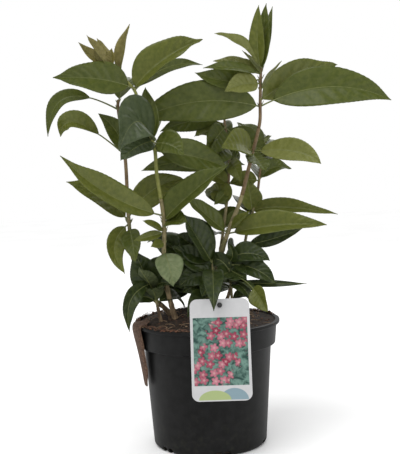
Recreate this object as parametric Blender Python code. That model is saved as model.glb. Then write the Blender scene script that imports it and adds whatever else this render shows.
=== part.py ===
"""A young weigela in a black two-litre nursery pot, with its plant label.

Metres, +Z up. The origin is the middle of the pot's flat underside, and the viewer stands at -Y.
Five stems and four short shoots stand in the potting mix. Each runs on inside its masses of foliage.
Stem and leaf sizes are in millimetres, measured right (+X), back (+Y) and up (+Z).
"""

import math
import random
from collections import namedtuple

import bmesh
import bpy
from mathutils import Matrix, Vector, noise
from mathutils.bvhtree import BVHTree

MM = 0.001
CLEARANCE = 0.3 * MM

POT_HEIGHT = 145 * MM
POT_LIP_RADIUS = 85 * MM
POT_LIP_DEPTH = 3.5 * MM
POT_COLLAR_RADIUS = 81.5 * MM
POT_COLLAR_DEPTH = 27 * MM
POT_STEP = 2 * MM
POT_SHOULDER_RADIUS = 74.5 * MM
POT_FOOT_RADIUS = 66.5 * MM
POT_FOOT_ROUND = 5 * MM
POT_WALL = 1.6 * MM
POT_STEPS = 48
DRAIN_PAIRS = 6
DRAIN_TURN = math.radians(12)
DRAIN_WIDTH = 7 * MM
DRAIN_LENGTH = 9 * MM
DRAIN_HEIGHT = 6 * MM
DRAIN_TOOTH = 3 * MM
DRAIN_ROUND = 1.5 * MM

MIX_EDGE_DROP = 1 * MM
MIX_MOUND = 15 * MM
MIX_MOUND_CENTRE = Vector((-20, 6, 0)) * MM
MIX_LUMP = 2.2 * MM
MIX_WIDE_LUMP = 18 * MM
MIX_SMALL_LUMP = 7.7 * MM
MIX_RINGS = 7
PLANTING_DEPTH = 8 * MM
PLANTING_HOLE_DEPTH = 24
PLANTING_HOLE_SPARE = 0.48 * MM

LABEL_WIDTH = 65 * MM
LABEL_HEIGHT = 110 * MM
LABEL_THICKNESS = 0.8 * MM
LABEL_CORNER = 8 * MM
LABEL_CORNER_STEPS = 5
LABEL_LEAN = math.radians(14)
LABEL_ABOVE_RIM = 37 * MM
LABEL_MIDDLE_X = 14 * MM
LABEL_HOLE_RADIUS = 2.1 * MM
LABEL_HOLE_DOWN = 7 * MM
LABEL_HOLE_STEPS = 12
TIE_RADIUS = 0.9 * MM
TIE_KNOB_RADIUS = 2.8 * MM
TIE_KNOB_DEPTH = 1 * MM
TIE_KNOB_CLEARANCE = 0.9 * MM
TIE_HEIGHT = 163
TIE_STEPS = 10

# The withered leaf over the lip: how far out from the pot's axis and how high it runs, and half its
# thickness and width there.
WITHERED_LEAF = [(71, 150, 0.7, 9), (79, 147.6, 0.7, 15), (85.4, 146.8, 0.7, 18), (87.8, 142, 0.9, 20),
                 (86.2, 131, 1.6, 19), (83.6, 118, 1.8, 17), (80.8, 104, 2, 15), (78.6, 91, 2, 13),
                 (77.2, 80, 1.6, 10), (76.6, 74, 1.0, 6)]
WITHERED_LEAF_TURN = math.radians(198)
WITHERED_LEAF_SIDES = 8
WITHERED_LEAF_CUTS = 15

STEM_SIDES = 6
STEM_CUT_SPACING = 14
STEM_GROUND_HEIGHT = 156

# Each stem: its foot radius and top radius, then the points (up, right, back) that it passes through.
STEMS = {
    "left": (2.7, 1.8, [(136, -34, -4), (158, -46, -6), (180, -68, -10), (218, -82, -14), (269, -86, -18),
                        (338, -87, -22), (395, -93, -22), (404, -92, -22)]),
    "middle": (3.0, 1.7, [(136, -32, -20), (165, -40, -21), (207, -47, -28), (265, -45, -36),
                          (319, -51, -40), (345, -52, -42), (364, -57, -42), (380, -68, -40),
                          (405, -70, -38), (417, -76, -36), (439, -100, -38)]),
    "right": (3.2, 1.7, [(136, -4, 6), (164, 1, 5), (204, 14, 2), (245, 27, 0), (283, 43, -2),
                         (321, 54, -4), (342, 60, -5), (373, 68, -6), (393, 69, -6), (437, 71, -6)]),
    "centre": (2.2, 1.4, [(136, 0, 26), (163, 4, 25), (210, 16, 20), (262, 25, 19), (295, 30, 27),
                          (337, 33, 31), (370, 29, 31), (384, 28, 30)]),
    "side": (2.2, 1.4, [(136, 22, 27), (163, 25, 27), (217, 45, 28), (242, 51, 29), (268, 59, 30),
                        (289, 65, 32), (320, 70, 34), (352, 76, 36)]),
    "low_left": (1.9, 1.4, [(136, -50, -24), (160, -55, -24), (180, -59, -22), (204, -62, -22)]),
    "low_middle": (1.9, 1.4, [(136, 2, -24), (160, 4, -23), (185, 8, -20), (216, 9, -17)]),
    "low_right": (1.9, 1.4, [(136, 30, -14), (160, 30, -13), (190, 29, -12), (222, 28, -12)]),
    "low_back": (1.9, 1.4, [(136, -14, 44), (160, -15, 45), (190, -18, 50), (222, -20, 54)]),
}

# Each mass of foliage: the stem that runs on inside it, and the heights between which it does.
MASSES = {
    "left_foliage": ("left", 250, 372),
    "left_crown": ("left", 372, 403),
    "middle_foliage": ("middle", 201, 372),
    "middle_crown": ("middle", 372, 439),
    "right_foliage": ("right", 238, 366),
    "right_crown": ("right", 366, 436),
    "centre_foliage": ("centre", 236, 383),
    "side_foliage": ("side", 220, 351),
    "low_left_foliage": ("low_left", 166, 203),
    "low_middle_foliage": ("low_middle", 166, 215),
    "low_right_foliage": ("low_right", 166, 221),
    "low_back_foliage": ("low_back", 166, 221),
}

Leaf = namedtuple("Leaf", "height reach width bow sway roll fold stalk lean",
                  defaults=(0, 0, 0, 22, 0.08, 0))

# Each leaf: the height of its node on the stem, how far its tip stands right, back and up from the
# node, its width, how far it bows up and sways aside, its roll and fold, the share that is stalk,
# and how far its bend leans from the middle towards the tip.
LEAVES = {
    "left": [
        Leaf(392, (-80, -6, -28), 20, bow=34, roll=-44, stalk=0.24, lean=0.16),
        Leaf(400, (18, 58, 30), 30, bow=10),
        Leaf(341, (-68, -29, 22), 27, bow=20, roll=-42, fold=34, stalk=0.24, lean=0.66),
        Leaf(341, (-28, -4, 47), 24, bow=6, sway=2, roll=-52),
        Leaf(338, (41, 62, 45), 32, bow=8, roll=30),
        Leaf(265, (-66, -27, 48), 32, bow=7, roll=-42, fold=14),
        Leaf(269, (64, 33, 41), 36, bow=12, roll=60),
        Leaf(262, (-5, -22, -55), 24, bow=7, sway=13, roll=-30),
        Leaf(257, (7, -26, -37), 24, bow=6, roll=20),
    ],
    "middle": [
        Leaf(429, (13, 6, 57), 19, sway=-1.5, roll=-10, fold=40),
        Leaf(436, (-25, -12, 37), 19, bow=-2, roll=-30, fold=35),
        Leaf(437, (-35, 2, 30), 15, bow=-2, roll=-40, fold=30),
        Leaf(438, (-14, 10, 34), 14, fold=35),
        Leaf(437, (2, -2, 22), 15, fold=35),
        Leaf(415, (-85, -24, 12), 40, bow=5, roll=-58, lean=-0.1),
        Leaf(414, (79, -14, 50), 44, bow=7, roll=44, fold=36, stalk=0.03),
        Leaf(412, (77, 46, 30), 17, bow=12, roll=45),
        Leaf(254, (-22, -26, 14), 12, roll=-50),
        Leaf(252, (-34, -16, -7), 12, roll=-50),
        Leaf(241, (-14, -18, -3), 12, roll=-50),
        Leaf(356, (-33, -56, -11), 60, bow=26, roll=-50, stalk=0.02),
        Leaf(355, (-34, -34, -20), 34, bow=4, roll=-30, stalk=0.02),
        Leaf(352, (34, -16, -14), 32, bow=6, roll=40),
        Leaf(353, (-8, 20, 63), 25, roll=-20),
        Leaf(344, (81, 32, -22), 38, bow=4, roll=60),
        Leaf(271, (-106, -49, 71), 36, bow=-10, roll=-46, fold=26),
        Leaf(266, (74, -14, 60), 40, bow=3, roll=36, fold=32, stalk=0.02, lean=-0.1),
        Leaf(262, (26, -20, 2), 30, bow=3, roll=30),
        Leaf(230, (10, -18, -38), 33, bow=6, fold=12),
    ],
    "right": [
        Leaf(391, (-146, -8, -14), 48, bow=15, roll=-72, fold=12, stalk=0.03),
        Leaf(391, (148, -14, 2), 48, bow=19, roll=64, fold=20, stalk=0.1, lean=0.04),
        Leaf(398, (96, 46, 42), 42, bow=6, roll=50, stalk=0.03),
        Leaf(422, (-75, -14, 9), 30, bow=-6, roll=-50),
        Leaf(432, (8, -4, 75), 19, sway=-1, fold=12, stalk=0.02),
        Leaf(431, (-1, -13, 73), 19, sway=-3, roll=-30, fold=14),
        Leaf(433, (16, 8, 72), 12, sway=-1, roll=28, fold=20),
        Leaf(434, (-52, -14, 40), 20, bow=8, roll=-30, fold=30),
        Leaf(430, (-21, -14, 24), 10, fold=40),
        Leaf(428, (-66, -34, 6), 16, bow=4, roll=-40),
        Leaf(428, (-54, 16, 18), 18, bow=4, roll=-40),
        Leaf(429, (-32, 1, 18), 16, roll=-30),
        Leaf(417, (-42, -24, -9), 28, bow=4, roll=-52),
        Leaf(410, (23, -24, 30), 10, fold=40),
        Leaf(339, (-37, -55, 6), 36, bow=8, roll=-60),
        Leaf(340, (71, -55, -16), 29, bow=9, roll=50, lean=0.25),
        Leaf(338, (12, -35, -20), 32),
        Leaf(245, (111, -40, 10), 36, bow=5, roll=40, fold=34),
        Leaf(246, (-48, -25, 45), 27, roll=-40),
        Leaf(250, (24, -20, 22), 14, roll=50),
    ],
    "centre": [
        Leaf(370, (-25, -35, -33), 34, bow=2, roll=-60),
        Leaf(369, (54, 0, -33), 34, bow=-2, roll=60),
        Leaf(346, (-24, -36, -20), 30, bow=4, roll=-50),
        Leaf(330, (12, -30, -26), 20, bow=4, roll=40),
        Leaf(325, (-102, -50, -3), 32, bow=8, roll=-55),
        Leaf(295, (-17, -16, -16), 14, roll=-40),
        Leaf(352, (-20, 62, 14), 32, bow=12),
        Leaf(380, (-34, 52, 36), 30, bow=6),
        Leaf(382, (-76, -14, -15), 26, bow=4, roll=-70, fold=12),
        Leaf(300, (-34, 60, 16), 32, bow=10),
    ],
    "side": [
        Leaf(269, (97, -30, -5), 24, bow=6, roll=40, fold=30, stalk=0.02, lean=-0.25),
        Leaf(267, (-5, -6, 40), 28, roll=-20),
        Leaf(228, (69, -8, 19), 20, bow=-2, roll=50),
        Leaf(262, (-12, 68, 18), 32, bow=10),
        Leaf(304, (0, 66, 14), 32, bow=10, roll=20),
        Leaf(340, (14, 60, 10), 30, bow=8, roll=20),
        Leaf(346, (-30, 40, 30), 26, bow=2),
        Leaf(350, (8, -4, 8), 12, fold=40),
    ],
    "low_left": [
        Leaf(193, (-26, -33, -50), 20, bow=14, sway=8, roll=-46),
        Leaf(178, (-21, -14, 54), 36, roll=-74, fold=10),
        Leaf(185, (-14, -30, 30), 24, roll=10),
        Leaf(172, (-4, -30, 18), 22, bow=4),
        Leaf(196, (4, 42, 8), 26, bow=10),
    ],
    "low_middle": [
        Leaf(205, (-1, -79, -34), 25, bow=16, lean=0.12),
        Leaf(212, (-32, -18, 60), 46, roll=-30),
        Leaf(214, (-40, 6, 34), 42, roll=-40),
        Leaf(205, (-46, -7, 30), 32, roll=-50),
        Leaf(197, (-40, -12, -9), 28, bow=8, roll=-50),
        Leaf(186, (-34, -12, -4), 32, bow=6, roll=-50),
        Leaf(180, (-12, -30, 0), 26, bow=6, roll=-20),
        Leaf(175, (-28, -42, -16), 28, bow=6, roll=-30),
    ],
    "low_right": [
        Leaf(217, (46, -14, -2), 28, bow=8, roll=40),
        Leaf(216, (42, 30, -9), 28, bow=8, roll=40),
        Leaf(204, (18, -24, -8), 28, roll=30),
        Leaf(210, (52, -20, -22), 26, bow=8, roll=40),
        Leaf(190, (86, -18, -2), 9, bow=-1, roll=60),
        Leaf(197, (38, -62, -33), 25, bow=12, roll=60, stalk=0.6),
        Leaf(191, (34, -50, -16), 11, bow=8),
        Leaf(200, (-14, -20, -6), 24, bow=4, roll=-30),
        Leaf(186, (22, -40, -14), 18, bow=9, roll=20),
    ],
    "low_back": [
        Leaf(214, (-52, 34, 16), 34, bow=12),
        Leaf(216, (44, 40, 20), 34, bow=12),
        Leaf(206, (-46, 8, 28), 34, bow=6, roll=-50),
        Leaf(205, (28, -12, 32), 32, bow=6, roll=40),
        Leaf(190, (-62, 22, -8), 32, bow=14),
        Leaf(190, (40, 50, -12), 32, bow=14),
        Leaf(196, (-4, 60, -2), 34, bow=14),
        Leaf(180, (-46, -16, -4), 36, bow=6, roll=-40),
        Leaf(172, (-50, -8, -6), 26, bow=6, roll=-50),
        Leaf(173, (-24, -18, 4), 26, bow=4, roll=-40),
    ],
}

# Where a mass fills out by itself: the seed, how many pairs of leaves, the heights of the lowest and
# highest pair, the shortest and longest leaf, and how far the leaves keep to the back (0 to 1).
FILL = {
    "centre_foliage": (3, 5, 250, 350, 34, 52, 0.7),
    "side_foliage": (8, 4, 254, 330, 34, 50, 0.7),
    "low_left_foliage": (2, 3, 170, 198, 24, 38, 0.3),
    "low_middle_foliage": (5, 4, 168, 202, 24, 40, 0.2),
    "low_right_foliage": (4, 4, 170, 214, 24, 36, 0.4),
    "low_back_foliage": (6, 4, 170, 200, 40, 66, 0.4),
}
FILL_STATIONS = 3
FILL_WIDTH = 0.62
FILL_RISE = (-12, 24)
FILL_BOW = (3, 12)

LEAF_STATIONS = 6
LEAF_THINNEST = 1.4
STALK_WIDTH = 2.2
TIP_WIDTH = 0.5
UPPER_SIDE = Vector((0, -0.3, 1))


def material(name, colour, roughness):
    finish = bpy.data.materials.new(name)
    finish.use_nodes = True
    surface = finish.node_tree.nodes["Principled BSDF"]
    surface.inputs["Base Color"].default_value = (*colour, 1)
    surface.inputs["Roughness"].default_value = roughness
    surface.inputs["Metallic"].default_value = 0
    return finish


def placed(name, bm, finish):
    """Turns a bmesh into a named object."""
    mesh = bpy.data.meshes.new(name)
    bm.to_mesh(mesh)
    bm.free()
    body = bpy.data.objects.new(name, mesh)
    bpy.context.collection.objects.link(body)
    body.data.materials.append(finish)
    return body


def applied(body):
    """Fixes an object's modifiers into its mesh."""
    graph = bpy.context.evaluated_depsgraph_get()
    finished = bpy.data.meshes.new_from_object(body.evaluated_get(graph))
    body.modifiers.clear()
    body.data = finished


def removed(bodies):
    for body in list(bodies):
        bpy.data.objects.remove(body)


def turned(profile, steps=POT_STEPS):
    """Spins an outline of (radius, height) round the Z axis into a closed body."""
    bm = bmesh.new()
    corners = [bm.verts.new((radius, 0, height)) for radius, height in profile]
    sides = [bm.edges.new((corners[i - 1], corners[i])) for i in range(1, len(corners))]
    bmesh.ops.spin(bm, geom=corners + sides, axis=(0, 0, 1), cent=(0, 0, 0), angle=math.tau,
                   steps=steps, use_merge=True)
    bmesh.ops.remove_doubles(bm, verts=bm.verts, dist=0.01 * MM)
    bmesh.ops.recalc_face_normals(bm, faces=bm.faces)
    return bm


def subtract(body, cutters):
    """Cuts each cutter out of the body and removes the cutters."""
    for cutter in cutters:
        cutter.hide_render = True
        cutter.display_type = "WIRE"
        cut = body.modifiers.new("cut", "BOOLEAN")
        cut.operation = "DIFFERENCE"
        cut.object = cutter
    applied(body)
    removed(cutters)


def wall_radius(height):
    """The pot's outer radius between its rounded foot and its collar."""
    shoulder = POT_HEIGHT - POT_COLLAR_DEPTH
    share = (height - POT_FOOT_ROUND) / (shoulder - POT_FOOT_ROUND)
    return POT_FOOT_RADIUS + (POT_SHOULDER_RADIUS - POT_FOOT_RADIUS) * share


def build_pot():
    """Black nursery pot: tapering wall, stepped collar, turned-out lip and drain slots at the foot."""
    shoulder = POT_HEIGHT - POT_COLLAR_DEPTH
    foot = [(POT_FOOT_RADIUS - POT_FOOT_ROUND * (1 - math.sin(angle)),
             POT_FOOT_ROUND * (1 - math.cos(angle)))
            for angle in (0, math.radians(45), math.radians(90))]
    outside = [(0, 0)] + foot + [
        (wall_radius(shoulder - POT_STEP), shoulder - POT_STEP),
        (POT_COLLAR_RADIUS - POT_STEP, shoulder),
        (POT_COLLAR_RADIUS, POT_HEIGHT - POT_LIP_DEPTH - 1 * MM),
        (POT_LIP_RADIUS, POT_HEIGHT - POT_LIP_DEPTH),
        (POT_LIP_RADIUS, POT_HEIGHT),
    ]
    inside = [
        (POT_COLLAR_RADIUS - POT_WALL, POT_HEIGHT),
        (POT_COLLAR_RADIUS - POT_STEP - POT_WALL, shoulder + POT_WALL),
        (wall_radius(shoulder) - POT_WALL, shoulder - POT_STEP),
        (POT_FOOT_RADIUS - POT_WALL, POT_FOOT_ROUND),
        (POT_FOOT_RADIUS - POT_FOOT_ROUND, POT_WALL),
        (0, POT_WALL),
    ]
    pot = placed("pot", turned(outside + inside), material("pot plastic", (0.02, 0.02, 0.021), 0.5))
    cutters = []
    for index in range(DRAIN_PAIRS * 2):
        side = -1 if index % 2 else 1
        aside = side * (DRAIN_TOOTH + DRAIN_WIDTH) / 2
        turn = Matrix.Rotation(math.tau * (index // 2) / DRAIN_PAIRS + DRAIN_TURN, 4, "Z")
        spot = Matrix.Translation((aside, -POT_FOOT_RADIUS + POT_STEP, 0))
        size = Matrix.Diagonal((DRAIN_WIDTH, DRAIN_LENGTH, DRAIN_HEIGHT * 2, 1))
        bm = bmesh.new()
        bmesh.ops.create_cube(bm, size=1, matrix=turn @ spot @ size)
        uprights = [edge for edge in bm.edges if abs(edge.verts[0].co.z - edge.verts[1].co.z) < MM]
        bmesh.ops.bevel(bm, geom=uprights, offset=DRAIN_ROUND, segments=1, affect="EDGES", profile=0.5)
        cutters.append(placed("drain", bm, pot.data.materials[0]))
    subtract(pot, cutters)
    return pot


def mix_height(x, y):
    """Top of the potting mix: a low lumpy mound that meets the rim."""
    reach = POT_COLLAR_RADIUS - POT_WALL
    out = min(1, Vector((x, y, 0)).length / reach)
    spot = Vector((x, y, 0))
    nearness = max(0, 1 - (spot - MIX_MOUND_CENTRE).length / reach)
    lumps = noise.noise(spot / MIX_WIDE_LUMP) + 0.6 * noise.noise(spot / MIX_SMALL_LUMP)
    edge = POT_HEIGHT - MIX_EDGE_DROP
    return edge + MIX_MOUND * nearness ** 0.8 * (1 - out ** 3) + MIX_LUMP * lumps * (1 - out ** 6)


def build_potting_mix():
    """Peat and bark that fills the pot, with a planting hole for each stem."""
    shoulder = POT_HEIGHT - POT_COLLAR_DEPTH
    gap = POT_WALL + CLEARANCE
    top_radius = POT_COLLAR_RADIUS - gap
    rings = [top_radius * (1 - step / MIX_RINGS) for step in range(MIX_RINGS + 1)]
    outline = [
        (0, POT_WALL + CLEARANCE),
        (POT_FOOT_RADIUS - POT_FOOT_ROUND - CLEARANCE, POT_WALL + CLEARANCE),
        (POT_FOOT_RADIUS - gap - CLEARANCE, POT_FOOT_ROUND + CLEARANCE),
        (wall_radius(shoulder) - gap - CLEARANCE, shoulder - POT_STEP),
        (POT_COLLAR_RADIUS - POT_STEP - gap, shoulder + POT_WALL + CLEARANCE),
    ] + [(radius, POT_HEIGHT) for radius in rings]
    bm = turned(outline)
    for vert in bm.verts:
        if vert.co.z > POT_HEIGHT - MM:
            vert.co.z = mix_height(vert.co.x, vert.co.y)
    mix = placed("potting_mix", bm, material("peat", (0.06, 0.04, 0.028), 0.95))
    cutters = []
    for stem in STEMS:
        foot = foot_height(stem)
        cutters.append(build_limb("planting_hole", stem, foot - CLEARANCE / MM, foot + PLANTING_HOLE_DEPTH,
                                  mix.data.materials[0], PLANTING_HOLE_SPARE))
    subtract(mix, cutters)
    return mix


def stem_point(stem, height):
    """Where a stem's middle is at a height, on a smooth curve through its points; in metres."""
    points = STEMS[stem][2]
    index = max(0, min(len(points) - 2, sum(point[0] <= height for point in points) - 1))
    before = points[max(0, index - 1)]
    start = points[index]
    end = points[index + 1]
    after = points[min(len(points) - 1, index + 2)]
    rise = end[0] - start[0]
    share = (height - start[0]) / rise
    place = []
    for axis in (1, 2):
        slope_in = (end[axis] - before[axis]) / max(1, end[0] - before[0]) * rise
        slope_out = (after[axis] - start[axis]) / max(1, after[0] - start[0]) * rise
        cubed = share ** 3
        squared = share ** 2
        place.append((2 * cubed - 3 * squared + 1) * start[axis] + (cubed - 2 * squared + share) * slope_in
                     + (3 * squared - 2 * cubed) * end[axis] + (cubed - squared) * slope_out)
    return Vector((place[0], place[1], height)) * MM


def stem_radius(stem, height):
    """A stem tapers evenly from its foot to its top."""
    foot, top, points = STEMS[stem]
    share = (height - points[0][0]) / (points[-1][0] - points[0][0])
    return (foot + (top - foot) * share) * MM


def bar(sides, cuts):
    """A closed prism from z = 0 to 1, cut into short lengths, to be bent into a limb or a leaf."""
    bm = bmesh.new()
    bmesh.ops.create_cone(bm, cap_ends=True, segments=sides, radius1=1, radius2=1, depth=1,
                          matrix=Matrix.Translation((0, 0, 0.5)))
    long_edges = [edge for edge in bm.edges if abs(edge.verts[0].co.z - edge.verts[1].co.z) > 0.5]
    bmesh.ops.subdivide_edges(bm, edges=long_edges, cuts=cuts, use_grid_fill=True)
    return bm


def build_limb(name, stem, low, high, finish, spare=0):
    """One tapering length of a stem between two heights, thicker by the spare where it is a cutter."""
    cuts = max(1, round((high - low) / STEM_CUT_SPACING))
    bm = bar(STEM_SIDES, cuts)
    for vert in bm.verts:
        height = low + (high - low) * vert.co.z
        middle = stem_point(stem, height)
        along = (stem_point(stem, height + 1) - stem_point(stem, height - 1)).normalized()
        aside = along.cross(Vector((0, 1, 0))).normalized()
        ahead = along.cross(aside)
        vert.co = middle + (aside * vert.co.x + ahead * vert.co.y) * (stem_radius(stem, height) + spare)
    return placed(name, bm, finish)


def leaf_half_width(leaf, share):
    """Half the blade's width at a share of the leaf's length, widest below the middle."""
    if share <= leaf.stalk:
        return STALK_WIDTH / 2
    along = (share - leaf.stalk) / (1 - leaf.stalk)
    swell = 3.33 * along ** 0.7 * (1 - along) ** 1.1
    floor = STALK_WIDTH + (TIP_WIDTH - STALK_WIDTH) * along
    return max(leaf.width * swell, floor) / 2


def leaf_curve(leaf, base):
    """The midrib's points and upper-side directions as functions of the share of its length."""
    tip = base + Vector(leaf.reach) * MM
    chord = (tip - base).normalized()
    upper = (UPPER_SIDE - chord * UPPER_SIDE.dot(chord)).normalized()
    aside = chord.cross(upper)
    middle = base.lerp(tip, 0.5 + leaf.lean) + (upper * leaf.bow + aside * leaf.sway) * 2 * MM
    faced = Matrix.Rotation(math.radians(leaf.roll), 3, chord) @ upper

    def point(share):
        return base * (1 - share) ** 2 + middle * 2 * share * (1 - share) + tip * share ** 2

    def facing(share):
        along = ((middle - base) * (1 - share) + (tip - middle) * share).normalized()
        normal = (faced - along * faced.dot(along)).normalized()
        return normal, normal.cross(along)

    return point, facing


def build_leaf(leaf, base, finish, stations=LEAF_STATIONS):
    """One leaf: a folded blade on a short stalk, four-sided in section and thickest at its midrib."""
    point, facing = leaf_curve(leaf, base)
    length = Vector(leaf.reach).length
    thick = max(LEAF_THINNEST, length / 80)
    fold = math.radians(leaf.fold)
    bm = bar(4, stations)
    for vert in bm.verts:
        share = vert.co.z
        if share > 0:
            share = leaf.stalk + (1 - leaf.stalk) * ((share * (stations + 1) - 1) / stations)
        normal, aside = facing(share)
        half = leaf_half_width(leaf, share)
        if share <= leaf.stalk:
            offset = (aside * vert.co.x + normal * vert.co.y) * half
        elif abs(vert.co.x) > 0.5:
            offset = (aside * vert.co.x * math.cos(fold) + normal * math.sin(fold)) * half
        else:
            depth = thick + (TIP_WIDTH - thick) * share ** 3
            offset = normal * vert.co.y * depth / 2
        vert.co = point(share) + offset * MM
    return placed("leaf", bm, finish)


def fill_leaves(name):
    """Opposite pairs of small leaves up a mass, each pair turned a quarter from the last."""
    seed, pairs, low, high, shortest, longest, backwards = FILL[name]
    chance = random.Random(seed)
    leaves = []
    for index in range(2 * pairs):
        pair = index // 2
        height = low + (high - low) * pair / (pairs - 1) + index % 2
        turn = math.radians(90 * pair + 180 * (index % 2) + chance.uniform(-35, 35))
        length = chance.uniform(shortest, longest)
        ahead = math.sin(turn)
        back = ahead + (abs(ahead) - ahead) * backwards
        reach = (length * math.cos(turn), length * back, chance.uniform(*FILL_RISE))
        roll = -math.copysign(chance.uniform(10, 55), -reach[0])
        leaves.append(Leaf(height, reach, length * FILL_WIDTH, chance.uniform(*FILL_BOW), 0, roll))
    return leaves


def surface_of(body):
    """A body's faces, to be tested for a touch."""
    return BVHTree.FromPolygons([vert.co for vert in body.data.vertices],
                                [face.vertices for face in body.data.polygons])


def build_blades(stems, masses, finish):
    """Each mass's leaves, placed ones first; one that fills out is left off where it would touch."""
    blades = {}
    for name, (stem, low, high) in MASSES.items():
        blades[name] = [build_leaf(leaf, stem_point(stem, leaf.height), finish)
                        for leaf in LEAVES[stem] if low < leaf.height <= high]
    taken = {name: [surface_of(body) for body in [masses[name]] + blades[name]] for name in MASSES}
    taken["stems"] = [surface_of(stem) for stem in stems]
    for name in FILL:
        stem = MASSES[name][0]
        others = [surface for other in taken if other != name for surface in taken[other]]
        for leaf in fill_leaves(name):
            blade = build_leaf(leaf, stem_point(stem, leaf.height), finish, FILL_STATIONS)
            surface = surface_of(blade)
            if any(surface.overlap(other) for other in others):
                bpy.data.objects.remove(blade)
            else:
                blades[name].append(blade)
                taken[name].append(surface)
    return blades


def fuse(mass, blades):
    """Fuses a mass's leaves onto the stem that runs on inside it."""
    leaves = bpy.data.collections.new("leaves")
    bpy.context.scene.collection.children.link(leaves)
    for blade in blades:
        bpy.context.collection.objects.unlink(blade)
        leaves.objects.link(blade)
    join = mass.modifiers.new("join", "BOOLEAN")
    join.operation = "UNION"
    join.operand_type = "COLLECTION"
    join.solver = "MANIFOLD"
    join.collection = leaves
    applied(mass)
    removed(leaves.objects)
    bpy.data.collections.remove(leaves)


def foot_height(stem):
    """A stem's foot stands in the mix, a planting depth below its top; in millimetres."""
    return (mix_height(*stem_point(stem, STEM_GROUND_HEIGHT).xy) - PLANTING_DEPTH) / MM


def build_plant():
    """Each bare stem ends where it enters its first mass, a hair below it."""
    bark = material("bark", (0.25, 0.17, 0.1), 0.8)
    green = material("leaf", (0.1, 0.15, 0.04), 0.55)
    stems = []
    for stem in STEMS:
        top = min(low for owner, low, high in MASSES.values() if owner == stem)
        stems.append(build_limb("stem_" + stem, stem, foot_height(stem), top, bark))
    masses = {name: build_limb(name, stem, low + CLEARANCE / MM, high, green)
              for name, (stem, low, high) in MASSES.items()}
    blades = build_blades(stems, masses, green)
    for name, mass in masses.items():
        fuse(mass, blades[name])


def label_place():
    """Where the label leans: its back lies on the lip's front edge, and its foot stands out."""
    seat = Vector((LABEL_MIDDLE_X, -POT_LIP_RADIUS - CLEARANCE - LABEL_THICKNESS / 2, POT_HEIGHT))
    lean = Matrix.Rotation(-LABEL_LEAN, 4, "X")
    lift = Matrix.Translation((0, 0, LABEL_ABOVE_RIM - LABEL_HEIGHT / 2))
    return Matrix.Translation(seat) @ lean @ lift


def build_label():
    """White plastic label that leans on the pot's lip, rounded, with a round hole near its top."""
    bm = bmesh.new()
    size = Matrix.Diagonal((LABEL_WIDTH, LABEL_THICKNESS, LABEL_HEIGHT, 1))
    bmesh.ops.create_cube(bm, size=1, matrix=size)
    corners = [edge for edge in bm.edges
               if abs(edge.verts[0].co.y - edge.verts[1].co.y) > LABEL_THICKNESS / 2]
    bmesh.ops.bevel(bm, geom=corners, offset=LABEL_CORNER, segments=LABEL_CORNER_STEPS,
                    affect="EDGES", profile=0.5)
    label = placed("label", bm, material("label plastic", (0.85, 0.85, 0.85), 0.35))
    punch = bmesh.new()
    spot = Matrix.Translation((0, 0, LABEL_HEIGHT / 2 - LABEL_HOLE_DOWN))
    spot = spot @ Matrix.Rotation(math.pi / 2, 4, "X")
    bmesh.ops.create_cone(punch, cap_ends=True, segments=LABEL_HOLE_STEPS, radius1=LABEL_HOLE_RADIUS,
                          radius2=LABEL_HOLE_RADIUS, depth=10 * MM, matrix=spot)
    subtract(label, [placed("punch", punch, label.data.materials[0])])
    label.data.transform(label_place())
    return label


def between(points, share):
    """A point at a share of a smooth curve through evenly counted points."""
    place = share * (len(points) - 1)
    index = min(int(place), len(points) - 2)
    near = place - index
    row = [Vector(points[max(0, min(len(points) - 1, index + step))]) for step in (-1, 0, 1, 2)]
    return 0.5 * (2 * row[1] + (row[2] - row[0]) * near
                  + (2 * row[0] - 5 * row[1] + 4 * row[2] - row[3]) * near ** 2
                  + (3 * row[1] - row[0] - 3 * row[2] + row[3]) * near ** 3)


def build_withered_leaf():
    """A dead leaf, rolled and brown, that hangs over the pot's lip at the left."""
    bm = bar(WITHERED_LEAF_SIDES, WITHERED_LEAF_CUTS)
    for vert in bm.verts:
        share = vert.co.z
        out, height, thick, wide = between(WITHERED_LEAF, share)
        ahead = between(WITHERED_LEAF, min(1, share + 0.02)) - between(WITHERED_LEAF, max(0, share - 0.02))
        along = Vector((ahead[0], 0, ahead[1])).normalized()
        spot = Vector((out, 0, height)) + Vector((0, 1, 0)).cross(along) * vert.co.x * thick
        vert.co = Matrix.Rotation(WITHERED_LEAF_TURN + vert.co.y * wide / out, 3, "Z") @ spot * MM
    return placed("withered_leaf", bm, material("dead leaf", (0.13, 0.085, 0.05), 0.9))


def build_label_tie():
    """Plastic tie that holds the label: a knob in front of its hole, and a strap back to a stem's foot."""
    hole = label_place() @ Vector((0, 0, LABEL_HEIGHT / 2 - LABEL_HOLE_DOWN))
    stem = stem_point("low_middle", TIE_HEIGHT)
    ahead = (hole - stem).normalized()
    start = stem_radius("low_middle", TIE_HEIGHT) + CLEARANCE + TIE_RADIUS / 2
    front = (hole - stem).length + LABEL_THICKNESS / 2 + TIE_KNOB_CLEARANCE
    bm = turned([(0, start), (TIE_RADIUS, start), (TIE_RADIUS, front), (TIE_KNOB_RADIUS, front),
                 (TIE_KNOB_RADIUS, front + TIE_KNOB_DEPTH), (0, front + TIE_KNOB_DEPTH)], TIE_STEPS)
    bm.transform(Matrix.Translation(stem) @ ahead.to_track_quat("Z", "Y").to_matrix().to_4x4())
    return placed("label_tie", bm, material("tie plastic", (0.02, 0.02, 0.02), 0.45))


for body in list(bpy.data.objects):
    bpy.data.objects.remove(body)
build_pot()
build_potting_mix()
build_plant()
build_label()
build_label_tie()
build_withered_leaf()
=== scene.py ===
import math
import random
from collections import namedtuple

import bmesh
import bpy
from mathutils import Matrix, Vector, noise
from mathutils.bvhtree import BVHTree


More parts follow.
